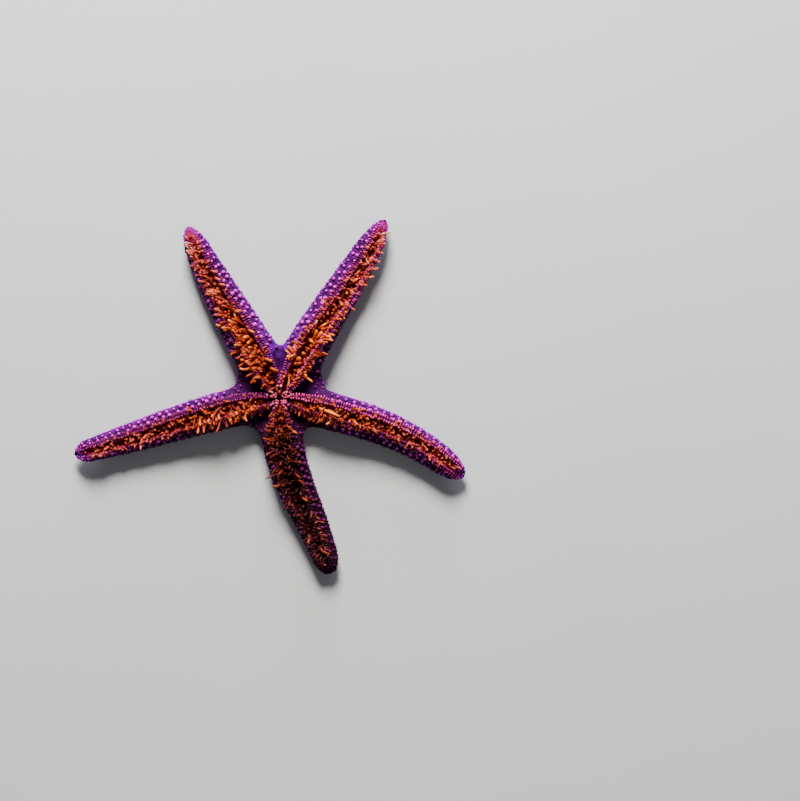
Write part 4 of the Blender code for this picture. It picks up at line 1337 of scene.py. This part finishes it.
class SEASTAR_OT_feelers(bpy.types.Operator):
    """Makes the slender pale feeler feet at the arms' tips"""

    bl_idname = "seastar.feelers"
    bl_label = "Feeler feet"

    def execute(self, context):
        stalks_per_arm("feelers", feelers_on, random_draws(4), 7, feeler_material(), "tube_feet")
        return {"FINISHED"}


def mouth_material():
    """Coral to pink spines on dark stems."""
    hues = bpy.context.scene.sea_star_colours
    look = Finish("mouth_spines", 0.40, subsurface=0.12, depth=0.0004, specular=0.18)
    ends = look.mix(look.attribute("tone"), rgba(hues.coral), rgba(hues.knob, 0.9))
    colour = look.mix(look.level(look.attribute("height"), 0.05, 0.55), rgba(hues.magenta, 0.6), ends)
    return look.done(colour, Normal=look.bump(look.noise(2600.0), 0.00004, 0.5))


MOUTH_PROFILE = np.array([1.1, 0.95, 0.95, 1.05, 1.0, 0.65])
# Distances from the mouth of a jaw's rows of spines, and the spines' turns from the jaw's middle.
JAW_ROWS = ((0.0017, (-12, 12)), (0.0024, (-21, 0, 21)), (0.0031, (-13, 13)), (0.0040, (-9, 9)))


class SEASTAR_OT_mouth(bpy.types.Operator):
    """Makes the spines that lean in over the mouth from the five jaws"""

    bl_idname = "seastar.mouth"
    bl_label = "Mouth"

    def execute(self, context):
        size = context.scene.sea_star_coat
        draw = random_draws(5)
        jaws = [math.degrees(math.atan2(*angle_between(index)[::-1])) for index in range(5)]
        spines = [(jaw + turn, distance) for jaw in jaws for distance, turns in JAW_ROWS for turn in turns]
        headings, distances = np.array(spines).T
        count = len(spines)
        outward = heading_of(headings + draw.normal(0.0, 2.5, count))
        xy = (distances * draw.uniform(0.93, 1.07, count))[:, None] * outward
        inward = unit(with_z(-0.6 * outward, 1.0))
        length = size.mouth_length * draw.uniform(2.0 / 3.0, 1.0, count)
        roots = with_z(xy, oral_z(xy) - ROOT_SINK)
        upright = np.tile(UP, (count, 1))
        paths = bent_paths(roots, [upright, inward, inward], length, len(MOUTH_PROFILE))
        radii = size.mouth_radius * draw.uniform(0.65, 1.0, (count, 1)) * MOUTH_PROFILE
        jaw, place = np.divmod(np.arange(count), count // 5)
        places = unwrap(0, 0.0, 0.0) + np.stack([0.008 * (place - 4.0), 0.004 * jaw], -1)
        piece = stalks("mouth_spines", paths, radii, 8, places, {"tone": draw.uniform(0.0, 1.0, count)},
                       mouth_material())
        dress(piece, "mouth_skin", "mouth")
        return {"FINISHED"}


def revolved(name, centre, normal, heights, radii, ripple, uv_at, made_material):
    """A round piece: rings of the given radii at the given heights along normal, closed by two poles.

    ripple holds a further height for each point, as rings by sides.
    """
    sides = ripple.shape[1]
    helper = [1.0, 0.0, 0.0] if abs(normal[0]) < 0.8 else [0.0, 1.0, 0.0]
    first = unit(np.cross(helper, normal))
    turn = all_round(sides)
    spokes = turn[:, :1] * first + turn[:, 1:] * np.cross(normal, first)
    rise = heights[:, None] + ripple
    rings = centre + rise[..., None] * normal + radii[:, None, None] * spokes
    poles = np.stack([centre + heights[0] * normal, centre + rise[-1].mean() * normal])
    quads, tris, places, height = ring_mesh(len(radii), sides, 0.1)
    corner_uv = [uv_at + 0.006 * places[faces].reshape(-1, 2) for faces in (quads, tris)]
    return new_object(name, np.concatenate([rings.reshape(-1, 3), poles]), quads, tris,
                      np.concatenate(corner_uv), {"height": height}, made_material)


def eyespot_material():
    """A red cushion with small dark cups."""
    hues = bpy.context.scene.sea_star_colours
    look = Finish("eyespot_cushion", 0.22, subsurface=0.1, depth=0.0003)
    cups = look.cells(6000.0)
    colour = look.mix(look.level(cups, 0.1, 0.5), rgba(hues.eye), rgba(hues.eye, 0.35))
    return look.done(colour, Normal=look.bump(cups, 0.00004, 0.8))


EYE_HALF_HEIGHT = 0.00034  # of an eyespot's bead
EYE_RISE = 0.00012  # how far an eyespot's middle stands over the skin
EYE_RINGS, EYE_SIDES = 9, 14


class SEASTAR_OT_eyespots(bpy.types.Operator):
    """Makes the red eyespot at each arm's tip"""

    bl_idname = "seastar.eyespots"
    bl_label = "Eyespots"

    def execute(self, context):
        finish = eyespot_material()
        turn = np.linspace(-0.5, 0.42, EYE_RINGS) * np.pi
        heights = EYE_HALF_HEIGHT * np.sin(turn)
        radii = context.scene.sea_star_coat.eye_radius * np.cos(turn) + 1e-6
        for index, arm in enumerate(ARMS):
            xy = np.mean(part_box(f"eyespot_{arm.number}"), axis=0)[:2]
            step = step_of_share(arm, nearest(arm, xy[None]))
            normal = skin_frames(index, step, np.zeros(1))[1][0]
            centre = np.append(xy, oral_z(xy[None]) + EYE_RISE)
            piece = revolved(f"eyespot_bead_{arm.number}", centre, normal, heights, radii,
                             np.zeros((EYE_RINGS, EYE_SIDES)), unwrap(index, step, np.zeros(1))[0], finish)
            dress(piece, "eyespot", f"eyespot_{arm.number}")
        return {"FINISHED"}


def sieve_material():
    """Pale chalky buff."""
    hues = bpy.context.scene.sea_star_colours
    look = Finish("sieve_plate", 0.55, subsurface=0.15, depth=0.0004)
    patches = look.level(look.noise(1800.0, 3.0), 0.35, 0.7)
    colour = look.mix(patches, rgba(hues.sieve), rgba(hues.sieve, 0.65))
    return look.done(colour, Normal=look.bump(look.noise(3200.0, 2.0), 0.00005, 0.6))


PLATE_ARM = 1  # place in ARMS of the arm whose base has the sieve plate on its back
PLATE_STEP, PLATE_COLUMN = 0.84, 0.998
PLATE_RINGS, PLATE_SIDES = 22, 132
PLATE_HEIGHT = 0.00045
PLATE_SINK = 0.0004  # how deep its rim is sunk in the skin
FURROW_DEPTH = 0.00007


def furrows(share):
    """Heights of radial furrows whose angle wanders with the radius, and which fade at rim and middle."""
    share = share[:, None]
    angle = np.arange(PLATE_SIDES) * 2.0 * np.pi / PLATE_SIDES
    wander = 0.5 * np.sin(9.0 * share) + 0.3 * np.sin(5.0 * angle)
    fade = smooth_step(share, 0.05, 0.2) * (1.0 - smooth_step(share, 0.85, 1.0))
    return FURROW_DEPTH * np.cos(22.0 * (angle + 0.25 * wander)) * fade


class SEASTAR_OT_sieve_plate(bpy.types.Operator):
    """Makes the sieve plate on the back, a dome cut by fine wandering furrows"""

    bl_idname = "seastar.sieve_plate"
    bl_label = "Sieve plate"

    def execute(self, context):
        step, column = np.array([PLATE_STEP]), np.array([PLATE_COLUMN])
        points, normals, _ = skin_frames(PLATE_ARM, step, column, False)
        share = np.linspace(0.0, 1.0, PLATE_RINGS)
        radii = context.scene.sea_star_coat.plate_radius * np.cos(0.5 * np.pi * share**1.2) + 1e-5
        heights = PLATE_HEIGHT * np.sin(0.5 * np.pi * share**0.8)
        heights[0] = -PLATE_SINK
        uv_at = unwrap(PLATE_ARM, step, column, False)[0] - [0.01, 0.0]
        piece = revolved("sieve_plate", points[0], normals[0], heights, radii, furrows(share), uv_at,
                         sieve_material())
        dress(piece, "sieve_plate", "madreporite")
        return {"FINISHED"}


# ---------------------------------------------------------------- stage


class SeaStarStage(bpy.types.PropertyGroup):
    """The camera's place and the lights."""

    picture: length_property("Picture width", 0.2459, "Width of the view at the height of the arms")
    aim_x: place_property("Aim X", 0.0370, "Where the view's middle lies along X")
    aim_y: place_property("Aim Y", -0.0008, "Where the view's middle lies along Y")
    distance: length_property("Camera distance", 1.1, "From the arms up to the camera")
    key: strength_property("Key light", 26.0, "Power of the key light in watts")
    rim: strength_property("Rim light", 9.0, "Power of the low bluish light in watts")
    fill: strength_property("Fill light", 0.6, "Power of the fill light in watts")
    sky: strength_property("Sky", 0.12, "Strength of the even light all round")


LIGHTS = (  # each light's name, place, width and colour
    ("key", (-0.06, 0.72, 0.50), 0.34, (1.0, 0.985, 0.96)),
    ("rim", (0.10, 1.20, 0.26), 0.30, (0.70, 0.80, 1.0)),
    ("fill", (0.50, -0.50, 0.80), 0.60, (1.0, 0.97, 0.94)),
)
LIT_PLACE = (0.03, 0.0, 0.0)  # where the lights point
SKY_COLOUR = (0.90, 0.93, 1.0, 1.0)
ARM_HEIGHT = 0.008  # height of the arms' upper side, from which the camera's distance is measured
FLOOR_EDGE = 3.0  # from the middle of the floor to its edges


def floor_material():
    """A plain pale floor with faint patches."""
    hues = bpy.context.scene.sea_star_colours
    look = Finish("stage_floor", 0.75, specular=0.18)
    patches = look.level(look.noise(14.0, 4.0), 0.3, 0.7)
    return look.done(look.mix(patches, rgba(hues.floor), rgba(hues.floor, 0.97)))


def add_light(name, place, width, colour, power):
    """A round soft light that points at LIT_PLACE."""
    light = bpy.data.lights.new(name, "AREA")
    light.shape = "DISK"
    light.size = width
    light.energy = power
    light.color = colour
    lamp = bpy.data.objects.new(name, light)
    bpy.context.collection.objects.link(lamp)
    lamp.location = place
    lamp.rotation_euler = (Vector(LIT_PLACE) - Vector(place)).to_track_quat("-Z", "Y").to_euler()


class SEASTAR_OT_stage(bpy.types.Operator):
    """Makes the floor, the soft lights and the camera straight above"""

    bl_idname = "seastar.stage"
    bl_label = "Stage"

    def execute(self, context):
        stage = context.scene.sea_star_stage
        corners = [(FLOOR_EDGE * x, FLOOR_EDGE * y, 0.0) for x, y in ((-1, -1), (1, -1), (1, 1), (-1, 1))]
        mesh = bpy.data.meshes.new("floor")
        mesh.from_pydata(corners, [], [(0, 1, 2, 3)])
        mesh.materials.append(floor_material())
        floor = bpy.data.objects.new("floor", mesh)
        context.collection.objects.link(floor)
        for name, place, width, colour in LIGHTS:
            add_light(name, place, width, colour, getattr(stage, name))
        world = bpy.data.worlds.new("studio")
        world.use_nodes = True
        sky = world.node_tree.nodes["Background"]
        sky.inputs["Color"].default_value = SKY_COLOUR
        sky.inputs["Strength"].default_value = stage.sky
        context.scene.world = world
        camera = bpy.data.cameras.new("camera")
        camera.sensor_width = 36.0
        camera.lens = camera.sensor_width * stage.distance / stage.picture
        camera.clip_start, camera.clip_end = 0.05, 20.0
        view = bpy.data.objects.new("camera", camera)
        view.location = (stage.aim_x, stage.aim_y, stage.distance + ARM_HEIGHT)
        context.collection.objects.link(view)
        context.scene.camera = view
        return {"FINISHED"}


# ---------------------------------------------------------------- the add-on

OPERATORS = (
    SEASTAR_OT_skin,
    SEASTAR_OT_spines,
    SEASTAR_OT_combs,
    SEASTAR_OT_granules,
    SEASTAR_OT_tube_feet,
    SEASTAR_OT_feelers,
    SEASTAR_OT_mouth,
    SEASTAR_OT_eyespots,
    SEASTAR_OT_sieve_plate,
    SEASTAR_OT_stage,
)
SETTINGS = {
    "sea_star_body": SeaStarBody,
    "sea_star_coat": SeaStarCoat,
    "sea_star_feet": SeaStarFeet,
    "sea_star_colours": SeaStarColours,
    "sea_star_stage": SeaStarStage,
}


class SEASTAR_PT_panel(bpy.types.Panel):
    """Lists the sea star's settings and the steps that make it"""

    bl_idname = "SEASTAR_PT_panel"
    bl_label = "Sea star"
    bl_space_type = "VIEW_3D"
    bl_region_type = "UI"
    bl_category = "Sea star"

    def draw(self, context):
        for key, group in SETTINGS.items():
            box = self.layout.box()
            box.label(text=group.__doc__)
            for name in group.__annotations__:
                box.prop(getattr(context.scene, key), name)
        for operator in OPERATORS:
            self.layout.operator(operator.bl_idname)


register_classes, unregister_classes = bpy.utils.register_classes_factory(
    (*SETTINGS.values(), *OPERATORS, SEASTAR_PT_panel)
)


def register():
    register_classes()
    for key, group in SETTINGS.items():
        setattr(bpy.types.Scene, key, PointerProperty(type=group))


def unregister():
    for key in SETTINGS:
        delattr(bpy.types.Scene, key)
    unregister_classes()


def main():
    register()
    bpy.ops.seastar.skin()
    bpy.ops.seastar.spines()
    bpy.ops.seastar.combs()
    bpy.ops.seastar.granules()
    bpy.ops.seastar.tube_feet()
    bpy.ops.seastar.feelers()
    bpy.ops.seastar.mouth()
    bpy.ops.seastar.eyespots()
    bpy.ops.seastar.sieve_plate()
    bpy.ops.seastar.stage()


if __name__ == "__main__":
    main()
